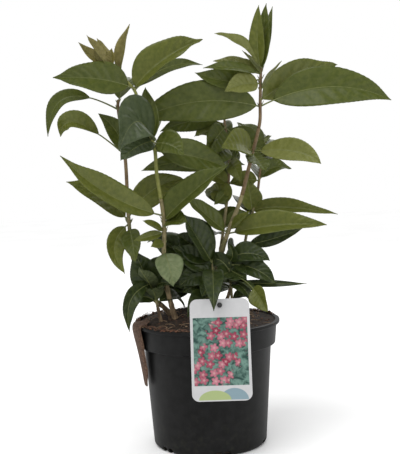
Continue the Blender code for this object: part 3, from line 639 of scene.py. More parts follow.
# Each leaf: the height of its node on the stem, how far its tip stands right, back and up from the
# node, its width, how far it bows up and sways aside, its roll and fold, the share that is stalk,
# and how far its bend leans from the middle towards the tip.
LEAVES = {"left": [
    Leaf(392, (-80, -6, -28), 20, bow=34, roll=-44, stalk=0.24, lean=0.16),
    Leaf(400, (18, 58, 30), 30, bow=10),
    Leaf(341, (-68, -29, 22), 27, bow=20, roll=-42, fold=34, stalk=0.24, lean=0.66),
    Leaf(341, (-28, -4, 47), 24, bow=6, sway=2, roll=-52),
    Leaf(338, (41, 62, 45), 32, bow=8, roll=30),
    Leaf(265, (-66, -27, 48), 32, bow=7, roll=-42, fold=14),
    Leaf(269, (64, 33, 41), 36, bow=12, roll=60),
    Leaf(262, (-5, -22, -55), 24, bow=7, sway=13, roll=-30),
    Leaf(257, (7, -26, -37), 24, bow=6, roll=20),
], "middle": [
    Leaf(429, (13, 6, 57), 19, sway=-1.5, roll=-10, fold=40),
    Leaf(436, (-25, -12, 37), 19, bow=-2, roll=-30, fold=35),
    Leaf(437, (-35, 2, 30), 15, bow=-2, roll=-40, fold=30),
    Leaf(438, (-14, 10, 34), 14, fold=35),
    Leaf(437, (2, -2, 22), 15, fold=35),
    Leaf(415, (-85, -24, 12), 40, bow=5, roll=-58, lean=-0.1),
    Leaf(414, (79, -14, 50), 44, bow=7, roll=44, fold=36, stalk=0.03),
    Leaf(412, (77, 46, 30), 17, bow=12, roll=45),
    Leaf(254, (-22, -26, 14), 12, roll=-50),
    Leaf(252, (-34, -16, -7), 12, roll=-50),
    Leaf(241, (-14, -18, -3), 12, roll=-50),
    Leaf(356, (-33, -56, -11), 60, bow=26, roll=-50, stalk=0.02),
    Leaf(355, (-34, -34, -20), 34, bow=4, roll=-30, stalk=0.02),
    Leaf(352, (34, -16, -14), 32, bow=6, roll=40),
    Leaf(353, (-8, 20, 63), 25, roll=-20),
    Leaf(344, (81, 32, -22), 38, bow=4, roll=60),
    Leaf(271, (-106, -49, 71), 36, bow=-10, roll=-46, fold=26),
    Leaf(266, (74, -14, 60), 40, bow=3, roll=36, fold=32, stalk=0.02, lean=-0.1),
    Leaf(262, (26, -20, 2), 30, bow=3, roll=30),
    Leaf(230, (10, -18, -38), 33, bow=6, fold=12),
], "right": [
    Leaf(391, (-146, -8, -14), 48, bow=15, roll=-72, fold=12, stalk=0.03),
    Leaf(391, (148, -14, 2), 48, bow=19, roll=64, fold=20, stalk=0.1, lean=0.04),
    Leaf(398, (96, 46, 42), 42, bow=6, roll=50, stalk=0.03),
    Leaf(422, (-75, -14, 9), 30, bow=-6, roll=-50),
    Leaf(432, (8, -4, 75), 19, sway=-1, fold=12, stalk=0.02),
    Leaf(431, (-1, -13, 73), 19, sway=-3, roll=-30, fold=14),
    Leaf(433, (16, 8, 72), 12, sway=-1, roll=28, fold=20),
    Leaf(434, (-52, -14, 40), 20, bow=8, roll=-30, fold=30),
    Leaf(430, (-21, -14, 24), 10, fold=40),
    Leaf(428, (-66, -34, 6), 16, bow=4, roll=-40),
    Leaf(428, (-54, 16, 18), 18, bow=4, roll=-40),
    Leaf(429, (-32, 1, 18), 16, roll=-30),
    Leaf(417, (-42, -24, -9), 28, bow=4, roll=-52),
    Leaf(410, (23, -24, 30), 10, fold=40),
    Leaf(339, (-37, -55, 6), 36, bow=8, roll=-60),
    Leaf(340, (71, -55, -16), 29, bow=9, roll=50, lean=0.25),
    Leaf(338, (12, -35, -20), 32),
    Leaf(245, (111, -40, 10), 36, bow=5, roll=40, fold=34),
    Leaf(246, (-48, -25, 45), 27, roll=-40),
    Leaf(250, (24, -20, 22), 14, roll=50),
], "centre": [
    Leaf(370, (-25, -35, -33), 34, bow=2, roll=-60),
    Leaf(369, (54, 0, -33), 34, bow=-2, roll=60),
    Leaf(346, (-24, -36, -20), 30, bow=4, roll=-50),
    Leaf(330, (12, -30, -26), 20, bow=4, roll=40),
    Leaf(325, (-102, -50, -3), 32, bow=8, roll=-55),
    Leaf(295, (-17, -16, -16), 14, roll=-40),
    Leaf(352, (-20, 62, 14), 32, bow=12),
    Leaf(380, (-34, 52, 36), 30, bow=6),
    Leaf(382, (-76, -14, -15), 26, bow=4, roll=-70, fold=12),
    Leaf(300, (-34, 60, 16), 32, bow=10),
], "side": [
    Leaf(269, (97, -30, -5), 24, bow=6, roll=40, fold=30, stalk=0.02, lean=-0.25),
    Leaf(267, (-5, -6, 40), 28, roll=-20),
    Leaf(228, (69, -8, 19), 20, bow=-2, roll=50),
    Leaf(262, (-12, 68, 18), 32, bow=10),
    Leaf(304, (0, 66, 14), 32, bow=10, roll=20),
    Leaf(340, (14, 60, 10), 30, bow=8, roll=20),
    Leaf(346, (-30, 40, 30), 26, bow=2),
    Leaf(350, (8, -4, 8), 12, fold=40),
], "low_left": [
    Leaf(193, (-26, -33, -50), 20, bow=14, sway=8, roll=-46),
    Leaf(178, (-21, -14, 54), 36, roll=-74, fold=10),
    Leaf(185, (-14, -30, 30), 24, roll=10),
    Leaf(172, (-4, -30, 18), 22, bow=4),
    Leaf(196, (4, 42, 8), 26, bow=10),
], "low_middle": [
    Leaf(205, (-1, -79, -34), 25, bow=16, lean=0.12),
    Leaf(212, (-32, -18, 60), 46, roll=-30),
    Leaf(214, (-40, 6, 34), 42, roll=-40),
    Leaf(205, (-46, -7, 30), 32, roll=-50),
    Leaf(197, (-40, -12, -9), 28, bow=8, roll=-50),
    Leaf(186, (-34, -12, -4), 32, bow=6, roll=-50),
    Leaf(180, (-12, -30, 0), 26, bow=6, roll=-20),
    Leaf(175, (-28, -42, -16), 28, bow=6, roll=-30),
], "low_right": [
    Leaf(217, (46, -14, -2), 28, bow=8, roll=40),
    Leaf(216, (42, 30, -9), 28, bow=8, roll=40),
    Leaf(204, (18, -24, -8), 28, roll=30),
    Leaf(210, (52, -20, -22), 26, bow=8, roll=40),
    Leaf(190, (86, -18, -2), 9, bow=-1, roll=60),
    Leaf(197, (38, -62, -33), 25, bow=12, roll=60, stalk=0.6),
    Leaf(191, (34, -50, -16), 11, bow=8),
    Leaf(200, (-14, -20, -6), 24, bow=4, roll=-30),
    Leaf(186, (22, -40, -14), 18, bow=9, roll=20),
], "low_back": [
    Leaf(214, (-52, 34, 16), 34, bow=12),
    Leaf(216, (44, 40, 20), 34, bow=12),
    Leaf(206, (-46, 8, 28), 34, bow=6, roll=-50),
    Leaf(205, (28, -12, 32), 32, bow=6, roll=40),
    Leaf(190, (-62, 22, -8), 32, bow=14),
    Leaf(190, (40, 50, -12), 32, bow=14),
    Leaf(196, (-4, 60, -2), 34, bow=14),
    Leaf(180, (-46, -16, -4), 36, bow=6, roll=-40),
    Leaf(172, (-50, -8, -6), 26, bow=6, roll=-50),
    Leaf(173, (-24, -18, 4), 26, bow=4, roll=-40),
]}

# Where a mass fills out by itself: the seed, how many pairs of leaves, the heights of the lowest and
# highest pair, the shortest and longest leaf, and how far the leaves keep to the back (0 to 1).
FILL = {
    "centre_foliage": (3, 5, 250, 350, 34, 52, 0.7),
    "side_foliage": (8, 4, 254, 330, 34, 50, 0.7),
    "low_left_foliage": (2, 3, 170, 198, 24, 38, 0.3),
    "low_middle_foliage": (5, 4, 168, 202, 24, 40, 0.2),
    "low_right_foliage": (4, 4, 170, 214, 24, 36, 0.4),
    "low_back_foliage": (6, 4, 170, 200, 40, 66, 0.4),
}
FILL_WIDTH = 0.62
FILL_RISE = (-12, 24)
FILL_BOW = (3, 12)
FILL_ROLL = (10, 55)
FILL_STRAY = (-35, 35)
FILL_FIRST = 50
LEAF_SEEDS = 7
LEAF_ROWS = 44
LEAF_COLUMNS = 14
LEAF_THICKNESS = 0.4 * MM
LEAF_GRAIN = 4.5 * MM
LEAF_SWELL = 3.33
VEIN_PAIRS = 8
VEIN_SLANT = 0.5
VEIN_SLANT_MOST = 0.22
VEIN_PUFF = 1.15
VEIN_PUFF_MOST = 1.3
PUFFED_WIDTH = 36
MARGIN_TOOTH = 0.35
TOOTHED_WIDTH = 30
MARGIN_WAVE = 0.045
MARGIN_WAVES = (1.2, 2.4)
STALK_WIDTH = 2.2
TIP_WIDTH = 0.5
UPPER_SIDE = Vector((0, -0.3, 1))
RIB_SIDES = 6
RIB_CUTS = 22
RIB_RADIUS = (1.0, 0.28)
RIB_REACH = 0.97
RIB_THINNING = 1.6
RIB_SUNK = 0.55


def leaf_half_width(leaf, share):
    """Half the blade's width at a share of the leaf's length, widest below the middle."""
    if share <= leaf.stalk:
        return STALK_WIDTH / 2
    along = (share - leaf.stalk) / (1 - leaf.stalk)
    swell = LEAF_SWELL * along ** 0.7 * max(0, 1 - along) ** 1.1
    least = STALK_WIDTH + (TIP_WIDTH - STALK_WIDTH) * along
    return max(leaf.width * swell, least) / 2


def leaf_curve(leaf, base):
    """The midrib's points and upper-side directions as functions of the share of its length."""
    tip = base + Vector(leaf.reach) * MM
    chord = (tip - base).normalized()
    upper = (UPPER_SIDE - chord * UPPER_SIDE.dot(chord)).normalized()
    aside = chord.cross(upper)
    middle = base.lerp(tip, 0.5 + leaf.lean) + (upper * leaf.bow + aside * leaf.sway) * 2 * MM
    faced = Matrix.Rotation(math.radians(leaf.roll), 3, chord) @ upper

    def point(share):
        return base * (1 - share) ** 2 + middle * 2 * share * (1 - share) + tip * share ** 2

    def facing(share):
        along = ((middle - base) * (1 - share) + (tip - middle) * share).normalized()
        normal = (faced - along * faced.dot(along)).normalized()
        return normal, normal.cross(along)

    return point, facing


def leaf_blade(leaf, base, chance):
    """The blade: a sheet whose rows run out along the side veins, folded, toothed and a little wavy."""
    point, facing = leaf_curve(leaf, base)
    fold = math.radians(leaf.fold)
    phase = chance.uniform(0, math.tau)
    waves = chance.uniform(*MARGIN_WAVES)
    puff = VEIN_PUFF * min(VEIN_PUFF_MOST, leaf.width / PUFFED_WIDTH)
    slant = min(VEIN_SLANT_MOST, VEIN_SLANT * leaf.width / Vector(leaf.reach).length)
    bm = bmesh.new()
    bmesh.ops.create_grid(bm, x_segments=LEAF_COLUMNS, y_segments=LEAF_ROWS, size=1)
    for vert in bm.verts:
        across = -vert.co.x
        along = (vert.co.y + 1) / 2
        out = abs(across)
        swelling = math.sin(math.pi * along)
        share = leaf.stalk + (1 - leaf.stalk) * (along + slant * out * swelling)
        normal, aside = facing(share)
        half = leaf_half_width(leaf, share)
        if round(along * LEAF_ROWS) % 2 and out > 0.99:
            half += MARGIN_TOOTH * swelling * min(1, leaf.width / TOOTHED_WIDTH)
        quilt = puff * abs(math.sin(math.pi * VEIN_PAIRS * along)) * math.sin(math.pi * out ** 0.8)
        wave = leaf.width * MARGIN_WAVE * out ** 2 * math.sin(math.tau * waves * along + phase + across)
        lift = half * math.sin(fold) * out ** 1.3 + (quilt + wave) * swelling ** 0.5
        vert.co = point(share) + (aside * across * half * math.cos(fold) + normal * lift) * MM
    return bm


def leaf_rib(leaf, base):
    """The stalk and the midrib that runs on from it under the blade, thinning to the tip."""
    point, facing = leaf_curve(leaf, base)
    thickest, thinnest = RIB_RADIUS
    bm = bar(RIB_SIDES, RIB_CUTS)
    for vert in bm.verts:
        share = RIB_REACH * vert.co.z
        normal, aside = facing(share)
        radius = thinnest + (thickest - thinnest) * (1 - share) ** RIB_THINNING
        sunk = normal * radius * RIB_SUNK if share > leaf.stalk else Vector((0, 0, 0))
        vert.co = point(share) + ((aside * vert.co.x + normal * vert.co.y) * radius - sunk) * MM
    return bm


def fill_leaves(name):
    """Opposite pairs of small leaves up a mass, each pair turned a quarter from the last."""
    seed, pairs, low, high, shortest, longest, backwards = FILL[name]
    chance = random.Random(seed)
    leaves = []
    for index in range(2 * pairs):
        pair = index // 2
        height = low + (high - low) * pair / (pairs - 1) + index % 2
        turn = math.radians(90 * pair + 180 * (index % 2) + chance.uniform(*FILL_STRAY))
        length = chance.uniform(shortest, longest)
        ahead = math.sin(turn)
        back = ahead + (abs(ahead) - ahead) * backwards
        reach = (length * math.cos(turn), length * back, chance.uniform(*FILL_RISE))
        roll = -math.copysign(chance.uniform(*FILL_ROLL), -reach[0])
        leaves.append(Leaf(height, reach, length * FILL_WIDTH, chance.uniform(*FILL_BOW), 0, roll))
    return leaves


def leaf_green(name, low, high, roughness=0.38):
    """Leaf skin: two near shades in soft patches, satin, with the fine pitting of its surface."""
    return speckled(name, low, high, LEAF_GRAIN, roughness, 0.12, 6, gloss=0.22)


uppers = [leaf_green("olive leaf", (0.048, 0.063, 0.008), (0.07, 0.084, 0.014)),
          # The bright olive tone is partly tone that differs at random, and on some leaves named below it is
          # painted light that they catch.
          leaf_green("bright olive leaf, partly painted light", (0.074, 0.088, 0.013), (0.104, 0.115, 0.021)),
          # The deep green tone is partly the low leaves' own deeper green and mostly painted shade from the
          # foliage above.
          leaf_green("deep green leaf with painted shade", (0.014, 0.024, 0.005), (0.032, 0.044, 0.01)),
          leaf_green("young leaf", (0.115, 0.126, 0.028), (0.148, 0.158, 0.044)),
          # The bluish tone is a painted sheen: the overhead light's reflection, painted into two leaves near
          # the front.
          leaf_green("leaf with painted bluish sheen", (0.035, 0.05, 0.02), (0.055, 0.072, 0.031), 0.36),
          leaf_green("bronze young leaf", (0.13, 0.115, 0.03), (0.19, 0.165, 0.052)),
          leaf_green("pale turned leaf", (0.1, 0.13, 0.055), (0.14, 0.165, 0.08), 0.5)]
OLIVE, BRIGHT_AND_LIT, DEEP_AND_SHADED, YOUNG, PAINTED_SHEEN, BRONZE, PALE = range(len(uppers))
# The undersides, in the same order; the third, under the low deep green leaves, is darker with painted shade
# too.
UNDERSIDES = (((0.08, 0.1, 0.035), (0.11, 0.13, 0.05)), ((0.1, 0.12, 0.045), (0.14, 0.155, 0.065)),
              ((0.05, 0.065, 0.026), (0.08, 0.095, 0.04)), ((0.1, 0.11, 0.045), (0.14, 0.15, 0.065)),
              ((0.08, 0.1, 0.04), (0.11, 0.13, 0.055)), ((0.11, 0.1, 0.045), (0.17, 0.15, 0.065)),
              ((0.11, 0.14, 0.06), (0.15, 0.175, 0.085)))
unders = [leaf_green("leaf underside " + str(number), low, high, 0.6)
          for number, (low, high) in enumerate(UNDERSIDES, 1)]

# Leaves given a tone each, known by their height and width. On two of them the bluish tone is a
# painted sheen, and on some the bright olive tone is painted light that they catch.
KNOWN_TONES = {(356, 60): PAINTED_SHEEN, (355, 34): PAINTED_SHEEN, (230, 33): PALE, (262, 24): BRIGHT_AND_LIT, (257, 24): OLIVE,
               (197, 25): BRIGHT_AND_LIT, (414, 44): BRIGHT_AND_LIT, (340, 29): YOUNG, (415, 40): OLIVE, (391, 48): OLIVE,
               (245, 36): BRIGHT_AND_LIT, (266, 40): OLIVE, (269, 24): BRIGHT_AND_LIT}
# Leaves below this height lie under the foliage, and their deep green tone is mostly painted shade.
PAINTED_SHADE_BELOW = 232
YOUNG_ABOVE = 400
YOUNG_LENGTH = 70
YOUNG_SHARE = 0.6
BRIGHT_SHARE = 0.35


def tone_of(stem, leaf, chance):
    """Small leaves at the tips are young, low ones are deep green with painted shade, and the rest are mostly
    olive.
    """
    pick = chance.random()
    if leaf.height > YOUNG_ABOVE and Vector(leaf.reach).length < YOUNG_LENGTH:
        return BRONZE if stem == "middle" else YOUNG if pick < YOUNG_SHARE else BRIGHT_AND_LIT
    if (leaf.height, leaf.width) in KNOWN_TONES:
        return KNOWN_TONES[leaf.height, leaf.width]
    if leaf.height < PAINTED_SHADE_BELOW:
        return DEEP_AND_SHADED
    return BRIGHT_AND_LIT if pick < BRIGHT_SHARE else OLIVE


sprays = {name: bmesh.new() for name in MASSES}
taken = {name: [] for name in MASSES}
ribs = bmesh.new()


def add_leaf(name, leaf, index, surfaces=()):
    """Adds a leaf to its mass and its rib to the ribs, unless it touches any of the given surfaces."""
    stem = MASSES[name][0]
    base = stem_point(stem, leaf.height)
    chance = random.Random(index * LEAF_SEEDS + round(leaf.height))
    blade = leaf_blade(leaf, base, chance)
    surface = BVHTree.FromBMesh(blade)
    if any(surface.overlap(other) for other in surfaces):
        blade.free()
        return
    taken[name].append(surface)
    join_into(sprays[name], blade, tone_of(stem, leaf, chance))
    join_into(ribs, leaf_rib(leaf, base))


for name, (stem, low, high) in MASSES.items():
    for index, leaf in enumerate(LEAVES[stem]):
        if low < leaf.height <= high:
            add_leaf(name, leaf, index)
for name in FILL:
    others = [surface for other in taken if other != name for surface in taken[other]]
    for index, leaf in enumerate(fill_leaves(name), FILL_FIRST):
        add_leaf(name, leaf, index, others)
for name, spray in sprays.items():
    piece = placed("leaves_of_" + name, spray, *uppers, *unders)
    skin = piece.modifiers.new("thickness", "SOLIDIFY")
    skin.thickness = LEAF_THICKNESS
    skin.offset = -1
    skin.material_offset = len(uppers)
    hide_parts(name)
    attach(piece, "root")
midrib_green = speckled("midrib", (0.1, 0.115, 0.035), (0.15, 0.165, 0.055), 4 * MM, 0.5)
piece = placed("midribs_and_stalks", ribs, midrib_green)
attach(piece, "root")


# Green shoots.
# Inside the leaves each stem runs on in this year's growth: tan low down, and above that green on the
# middle stem and reddened on the others. Small pointed buds stand in pairs where the leaves join it.
SHOOT_SIDES = 10
SHOOT_RING_SPACING = 2.5
SHOOT_TAN_BELOW = 290
SHOOT_REDDENED = ("left", "right", "centre", "side")
GREEN_SHOOT, RED_SHOOT, TAN_SHOOT = range(3)
BUD_SEED = 5
BUD_LENGTH = (3.5, 8)
BUD_RADIUS = 1.1
BUD_TAPER = 0.45
BUD_FLATNESS = 0.6
BUD_SPREAD = 0.55
BUD_START = 0.8
BUD_SEAT = 0.7

shoots = bmesh.new()
buds = bmesh.new()
chance = random.Random(BUD_SEED)
for name, (stem, low, high) in MASSES.items():
    tan_top = min(high, max(low, SHOOT_TAN_BELOW))
    tone = RED_SHOOT if stem in SHOOT_REDDENED else GREEN_SHOOT
    for start, end, slot in ((low, tan_top, TAN_SHOOT), (tan_top, high, tone)):
        if end > start:
            join_into(shoots, limb(stem, start, end, SHOOT_SIDES, SHOOT_RING_SPACING), slot)
    heights = sorted({2 * round(leaf.height / 2) for leaf in LEAVES[stem] if low < leaf.height <= high})
    for height in heights:
        turn = chance.uniform(0, math.pi)
        for side in (0, math.pi):
            length = chance.uniform(*BUD_LENGTH)
            out = Vector((math.cos(turn + side), math.sin(turn + side), 0))
            along = (out * BUD_SPREAD + Vector((0, 0, 1))).normalized()
            bud = bmesh.new()
            bmesh.ops.create_uvsphere(bud, u_segments=8, v_segments=6, radius=1)
            for vert in bud.verts:
                slim = BUD_RADIUS * (1 - BUD_TAPER * (vert.co.z + 1) / 2)
                rise = (vert.co.z + BUD_START) * length / 2
                vert.co = Vector((vert.co.x * slim, vert.co.y * slim * BUD_FLATNESS, rise))
            place = stem_point(stem, height) + out * stem_radius(stem, height) * BUD_SEAT
            turned_out = along.to_track_quat("Z", "Y").to_matrix().to_4x4()
            bud.transform(Matrix.Translation(place) @ turned_out @ Matrix.Scale(MM, 4))
            join_into(buds, bud)
piece = placed("green_shoots", shoots,
               speckled("green shoot", (0.13, 0.14, 0.026), (0.2, 0.205, 0.055), 5 * MM, 0.5),
               speckled("reddened shoot", (0.1, 0.062, 0.028), (0.17, 0.115, 0.055), 5 * MM, 0.5),
               speckled("tan shoot", (0.14, 0.12, 0.055), (0.24, 0.2, 0.1), 5 * MM, 0.6))
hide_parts(*MASSES)
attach(piece, "root")
piece = placed("leaf_buds", buds, speckled("bud", (0.11, 0.12, 0.045), (0.17, 0.18, 0.075), 3 * MM, 0.55))
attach(piece, "root")


# Withered leaf.
# A dead leaf, fibrous and rust brown, hangs over the lip at the left. It has dried to a broad strip that
# lies on the mix at one end and wraps a little round the pot.

# The strip from the mix out over the lip and down: how far out from the pot's axis and how high it
# runs, and half its thickness and half its width there.
WITHERED_LEAF = [(71, 150, 0.7, 9), (79, 147.6, 0.7, 15), (85.4, 146.8, 0.7, 18), (87.8, 142, 0.9, 20),
                 (86.2, 131, 1.6, 19), (83.6, 118, 1.8, 17), (80.8, 104, 2, 15), (78.6, 91, 2, 13),
                 (77.2, 80, 1.6, 10), (76.6, 74, 1.0, 6)]
WITHERED_TURN = math.radians(198)
WITHERED_SIDES = 28
WITHERED_CUTS = 90
WITHERED_FURROW = 0.9
WITHERED_FURROWS = 6
WITHERED_FURROW_RUN = 5
WITHERED_RAGS = 14
WITHERED_CURL = 1.4
WITHERED_THINNING = 0.4
WITHERED_NEAR = 0.02
WITHERED_DARK = (0.035, 0.017, 0.01)
WITHERED_RUST = (0.12, 0.068, 0.042)


def between(points, share):
    """A point at a share of a smooth curve through evenly counted points."""
    place = share * (len(points) - 1)
    index = min(int(place), len(points) - 2)
    near = place - index
    row = [Vector(points[max(0, min(len(points) - 1, index + step))]) for step in (-1, 0, 1, 2)]
    return 0.5 * (2 * row[1] + (row[2] - row[0]) * near
                  + (2 * row[0] - 5 * row[1] + 4 * row[2] - row[3]) * near ** 2
                  + (3 * row[1] - row[0] - 3 * row[2] + row[3]) * near ** 3)


bm = bar(WITHERED_SIDES, WITHERED_CUTS)
for vert in bm.verts:
    share = vert.co.z
    out, height, thick, wide = between(WITHERED_LEAF, share)
    past = between(WITHERED_LEAF, max(0, share - WITHERED_NEAR))
    ahead = between(WITHERED_LEAF, min(1, share + WITHERED_NEAR)) - past
    along = Vector((ahead[0], 0, ahead[1])).normalized()
    furrow = noise.noise(Vector((0, vert.co.y * WITHERED_FURROWS, share * WITHERED_FURROW_RUN)))
    ragged = noise.noise(Vector((3, math.copysign(2, vert.co.y), share * WITHERED_RAGS)))
    curl = WITHERED_CURL * vert.co.y ** 4 * math.sin(math.pi * share)
    lift = vert.co.x * thick * WITHERED_THINNING + WITHERED_FURROW * furrow + curl
    spot = Vector((out, 0, height)) + Vector((0, 1, 0)).cross(along) * lift
    turn = WITHERED_TURN + vert.co.y * (wide - 1 + ragged) / out
    vert.co = Matrix.Rotation(turn, 3, "Z") @ spot * MM
rust_brown = speckled("withered leaf", WITHERED_DARK, WITHERED_RUST, 2.5 * MM, 0.85, 0.7, 8)
withered = placed("rolled_dead_leaf", bm, rust_brown)
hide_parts("withered_leaf")
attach(withered, "root")


# Label.
# A white plastic plate, die-cut with round corners and a round hole, that leans on the pot's lip. Its
# front is printed with a drift of pink blossom over blue-green foliage, and two soft arcs at the foot.
LABEL_WIDTH = 65 * MM
LABEL_HEIGHT = 110 * MM
LABEL_THICKNESS = 0.8 * MM
LABEL_CORNER = 8 * MM
LABEL_EDGE = 0.12 * MM
LABEL_LEAN = math.radians(14)
LABEL_ABOVE_RIM = 37 * MM
LABEL_MIDDLE_X = 14 * MM
LABEL_HOLE_RADIUS = 2.1 * MM
LABEL_HOLE_DOWN = 7 * MM
LABEL_PUNCH = 10 * MM
LABEL_WHITE = (0.43, 0.43, 0.435)
LABEL_SHEEN = 1.05
PICTURE_MARGIN = 0.045
PICTURE_LOW = 0.15
PICTURE_HIGH = 0.815
FOLIAGE_GRAINS = 9
FOLIAGE_EDGE = (0.38, 0.62)
FOLIAGE_DARK = (0.014, 0.045, 0.037)
FOLIAGE_LIGHT = (0.12, 0.21, 0.175)
BLOSSOMS_ACROSS = 7
PETALS = 5
PETAL_NOTCH = 0.3
PETAL_LENGTH = 0.26
PETAL_DEEP = (0.2, 0.018, 0.045)
PETAL_PALE = (0.4, 0.15, 0.19)
PETAL_EDGE = (1.05, 0.95)
HEART_EDGE = (0.45, 0)
HEART_PALE = (0.45, 0.28, 0.27)
RIM_EDGE = (0.75, 1.05)
RIM_DEEP = (0.15, 0.02, 0.045)
DRIFT_RIGHT = 0.9
DRIFT_UP = -0.8
DRIFT_MIDDLE = 0.06
DRIFT_RAGS = 0.5
DRIFT_EDGE = (0.34, 0.3)
ARC_FOOT = 0.01
ARC_CUT = 0.012
ARC_EDGE = (1, 0.96)
ARCS = ((0.7, 0.24, 0.115, (0.18, 0.255, 0.29)), (0.38, 0.27, 0.095, (0.29, 0.35, 0.16)))


def label_place():
    """Where the label leans: its back lies on the lip's front edge, and its foot stands out."""
    seat = Vector((LABEL_MIDDLE_X, -POT_LIP_RADIUS - CLEARANCE - LABEL_THICKNESS / 2, POT_HEIGHT))
    lean = Matrix.Rotation(-LABEL_LEAN, 4, "X")
    lift = Matrix.Translation((0, 0, LABEL_ABOVE_RIM - LABEL_HEIGHT / 2))
    return Matrix.Translation(seat) @ lean @ lift


def white_plastic(name):
    """Satin white label plastic."""
    bright = tuple(shade * LABEL_SHEEN for shade in LABEL_WHITE)
    return speckled(name, LABEL_WHITE, bright, 6 * MM, 0.32, 0.02)


def printed_plastic():
    """White label plastic with the printed picture, laid out on the plate's own width and height."""
    finish = white_plastic("printed label")
    tree = finish.node_tree
    layout = finish_step(tree, "UVMap", {}, uv_map="layout").outputs["UV"]
    sides = finish_step(tree, "SeparateXYZ", {"Vector": layout})
    right = sides.outputs["X"]
    up = sides.outputs["Y"]
    scale = {"Vector": layout, "Scale": (1, LABEL_HEIGHT / LABEL_WIDTH, 1)}
    square = finish_step(tree, "Mapping", scale).outputs["Vector"]

    def grown(place):
        feeds = {0: place, "Scale": BLOSSOMS_ACROSS}
        return finish_step(tree, "VectorMath", feeds, operation="SCALE").outputs["Vector"]

    rows = {"Vector": square, "Scale": BLOSSOMS_ACROSS, "Randomness": 0.8}
    blooms = finish_step(tree, "TexVoronoi", rows, voronoi_dimensions="2D")
    inside = finish_step(tree, "VectorMath", {0: grown(square), 1: grown(blooms.outputs["Position"])},
                         operation="SUBTRACT")
    offset = finish_step(tree, "SeparateXYZ", {"Vector": inside.outputs["Vector"]})
    angle = calc("ARCTAN2", offset.outputs["Y"], offset.outputs["X"])
    lobes = calc("ABSOLUTE", calc("COSINE", calc("MULTIPLY", angle, PETALS / 2)))
    depth = calc("DIVIDE", blooms.outputs["Distance"], calc("MULTIPLY_ADD", lobes, PETAL_LENGTH, PETAL_NOTCH))

    grains = {"Vector": square, "Scale": FOLIAGE_GRAINS, "Detail": 5, "Distortion": 1.2}
    leafage = finish_step(tree, "TexNoise", grains).outputs["Fac"]
    foliage = mixed(softly(leafage, *FOLIAGE_EDGE), FOLIAGE_DARK, FOLIAGE_LIGHT)
    tint = finish_step(tree, "SeparateXYZ", {"Vector": blooms.outputs["Color"]}).outputs["X"]
    pink = mixed(tint, PETAL_DEEP, PETAL_PALE)
    pink = mixed(softly(depth, *HEART_EDGE), pink, HEART_PALE)
    pink = mixed(softly(depth, *RIM_EDGE), pink, RIM_DEEP)
    drift = calc("ADD", calc("MULTIPLY", right, DRIFT_RIGHT), calc("MULTIPLY", up, DRIFT_UP))
    drift = calc("ABSOLUTE", calc("ADD", drift, -DRIFT_MIDDLE))
    drift = calc("ADD", drift, calc("MULTIPLY_ADD", leafage, DRIFT_RAGS, -DRIFT_RAGS / 2))
    blossom = calc("MULTIPLY", softly(depth, *PETAL_EDGE), softly(drift, *DRIFT_EDGE))
    picture = mixed(blossom, foliage, pink)

    across = calc("COMPARE", right, 0.5, 0.5 - PICTURE_MARGIN)
    upward = calc("COMPARE", up, (PICTURE_LOW + PICTURE_HIGH) / 2, (PICTURE_HIGH - PICTURE_LOW) / 2)
    printed = mixed(calc("MULTIPLY", across, upward), tree.nodes["shades"].outputs["Color"], picture)

    for middle, wide, high, colour in ARCS:
        flat = calc("POWER", calc("DIVIDE", calc("ADD", right, -middle), wide), 2)
        tall = calc("POWER", calc("DIVIDE", calc("ADD", up, -ARC_FOOT), high), 2)
        arc = softly(calc("ADD", flat, tall), *ARC_EDGE)
        printed = mixed(calc("MULTIPLY", arc, calc("GREATER_THAN", up, ARC_CUT)), printed, colour)
    tree.links.new(printed, tree.nodes["Principled BSDF"].inputs["Base Color"])
    return finish


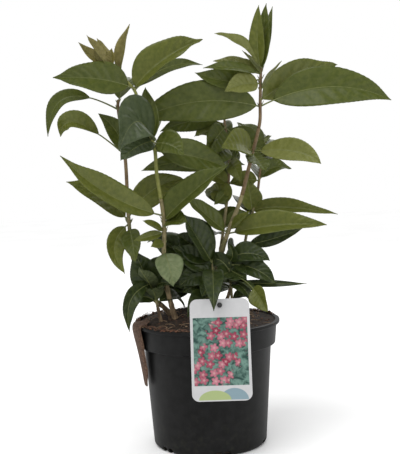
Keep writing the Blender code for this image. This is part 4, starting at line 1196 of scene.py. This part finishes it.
bm = bmesh.new()
bmesh.ops.create_cube(bm, size=1, matrix=Matrix.Diagonal((LABEL_WIDTH, LABEL_THICKNESS, LABEL_HEIGHT, 1)))
corners = [edge for edge in bm.edges if abs(edge.verts[0].co.y - edge.verts[1].co.y) > LABEL_THICKNESS / 2]
bmesh.ops.bevel(bm, geom=corners, offset=LABEL_CORNER, segments=12, affect="EDGES", profile=0.5, material=-1)
rims = [edge for edge in bm.edges if abs(edge.verts[0].co.y - edge.verts[1].co.y) < LABEL_THICKNESS / 2]
bmesh.ops.bevel(bm, geom=rims, offset=LABEL_EDGE, segments=2, affect="EDGES", profile=0.5, material=-1)
plate = placed("printed_label", bm, white_plastic("white label plastic"), printed_plastic())
punch = bmesh.new()
spot = Matrix.Translation((0, 0, LABEL_HEIGHT / 2 - LABEL_HOLE_DOWN)) @ Matrix.Rotation(math.pi / 2, 4, "X")
bmesh.ops.create_cone(punch, cap_ends=True, segments=40, radius1=LABEL_HOLE_RADIUS, radius2=LABEL_HOLE_RADIUS,
                      depth=LABEL_PUNCH, matrix=spot)
cut_out(plate, [placed("punch", punch)])
layout = plate.data.uv_layers.new(name="layout")
for face in plate.data.polygons:
    face.use_smooth = False
    face.material_index = 1 if face.normal.y < -0.9 else 0
    for corner in face.loop_indices:
        spot = plate.data.vertices[plate.data.loops[corner].vertex_index].co
        layout.data[corner].uv = (spot.x / LABEL_WIDTH + 0.5, spot.z / LABEL_HEIGHT + 0.5)
plate.data.transform(label_place())
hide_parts("label")
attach(plate, "root")


# Label tie.
# A tie moulded in dark plastic holds the label: a round knob in front of its hole, on a thin strap that
# runs back to the foot of the nearest shoot.
TIE_RADIUS = 0.9 * MM
TIE_KNOB_RADIUS = 2.8 * MM
TIE_KNOB_DEPTH = 1 * MM
TIE_KNOB_CLEARANCE = 0.9 * MM
TIE_SHOOT = "low_middle"
TIE_HEIGHT = 163
TIE_STEPS = 32
TIE_BLACK = (0.01, 0.01, 0.01)
TIE_WORN = (0.02, 0.02, 0.02)

hole = label_place() @ Vector((0, 0, LABEL_HEIGHT / 2 - LABEL_HOLE_DOWN))
anchor = stem_point(TIE_SHOOT, TIE_HEIGHT)
strap_start = stem_radius(TIE_SHOOT, TIE_HEIGHT) + CLEARANCE + TIE_RADIUS / 2
strap_end = (hole - anchor).length + LABEL_THICKNESS / 2 + TIE_KNOB_CLEARANCE
knob_end = strap_end + TIE_KNOB_DEPTH
knob = rounded([(TIE_RADIUS, strap_end), (TIE_KNOB_RADIUS, strap_end), (TIE_KNOB_RADIUS, knob_end),
                (0, knob_end)], TIE_KNOB_DEPTH / 3)
bm = turned([(0, strap_start), (TIE_RADIUS, strap_start)] + knob, TIE_STEPS)
bm.transform(Matrix.Translation(anchor) @ (hole - anchor).to_track_quat("Z", "Y").to_matrix().to_4x4())
tie = placed("moulded_tie", bm, speckled("tie plastic", TIE_BLACK, TIE_WORN, 3 * MM, 0.45, 0.05))
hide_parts("label_tie")
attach(tie, "root")
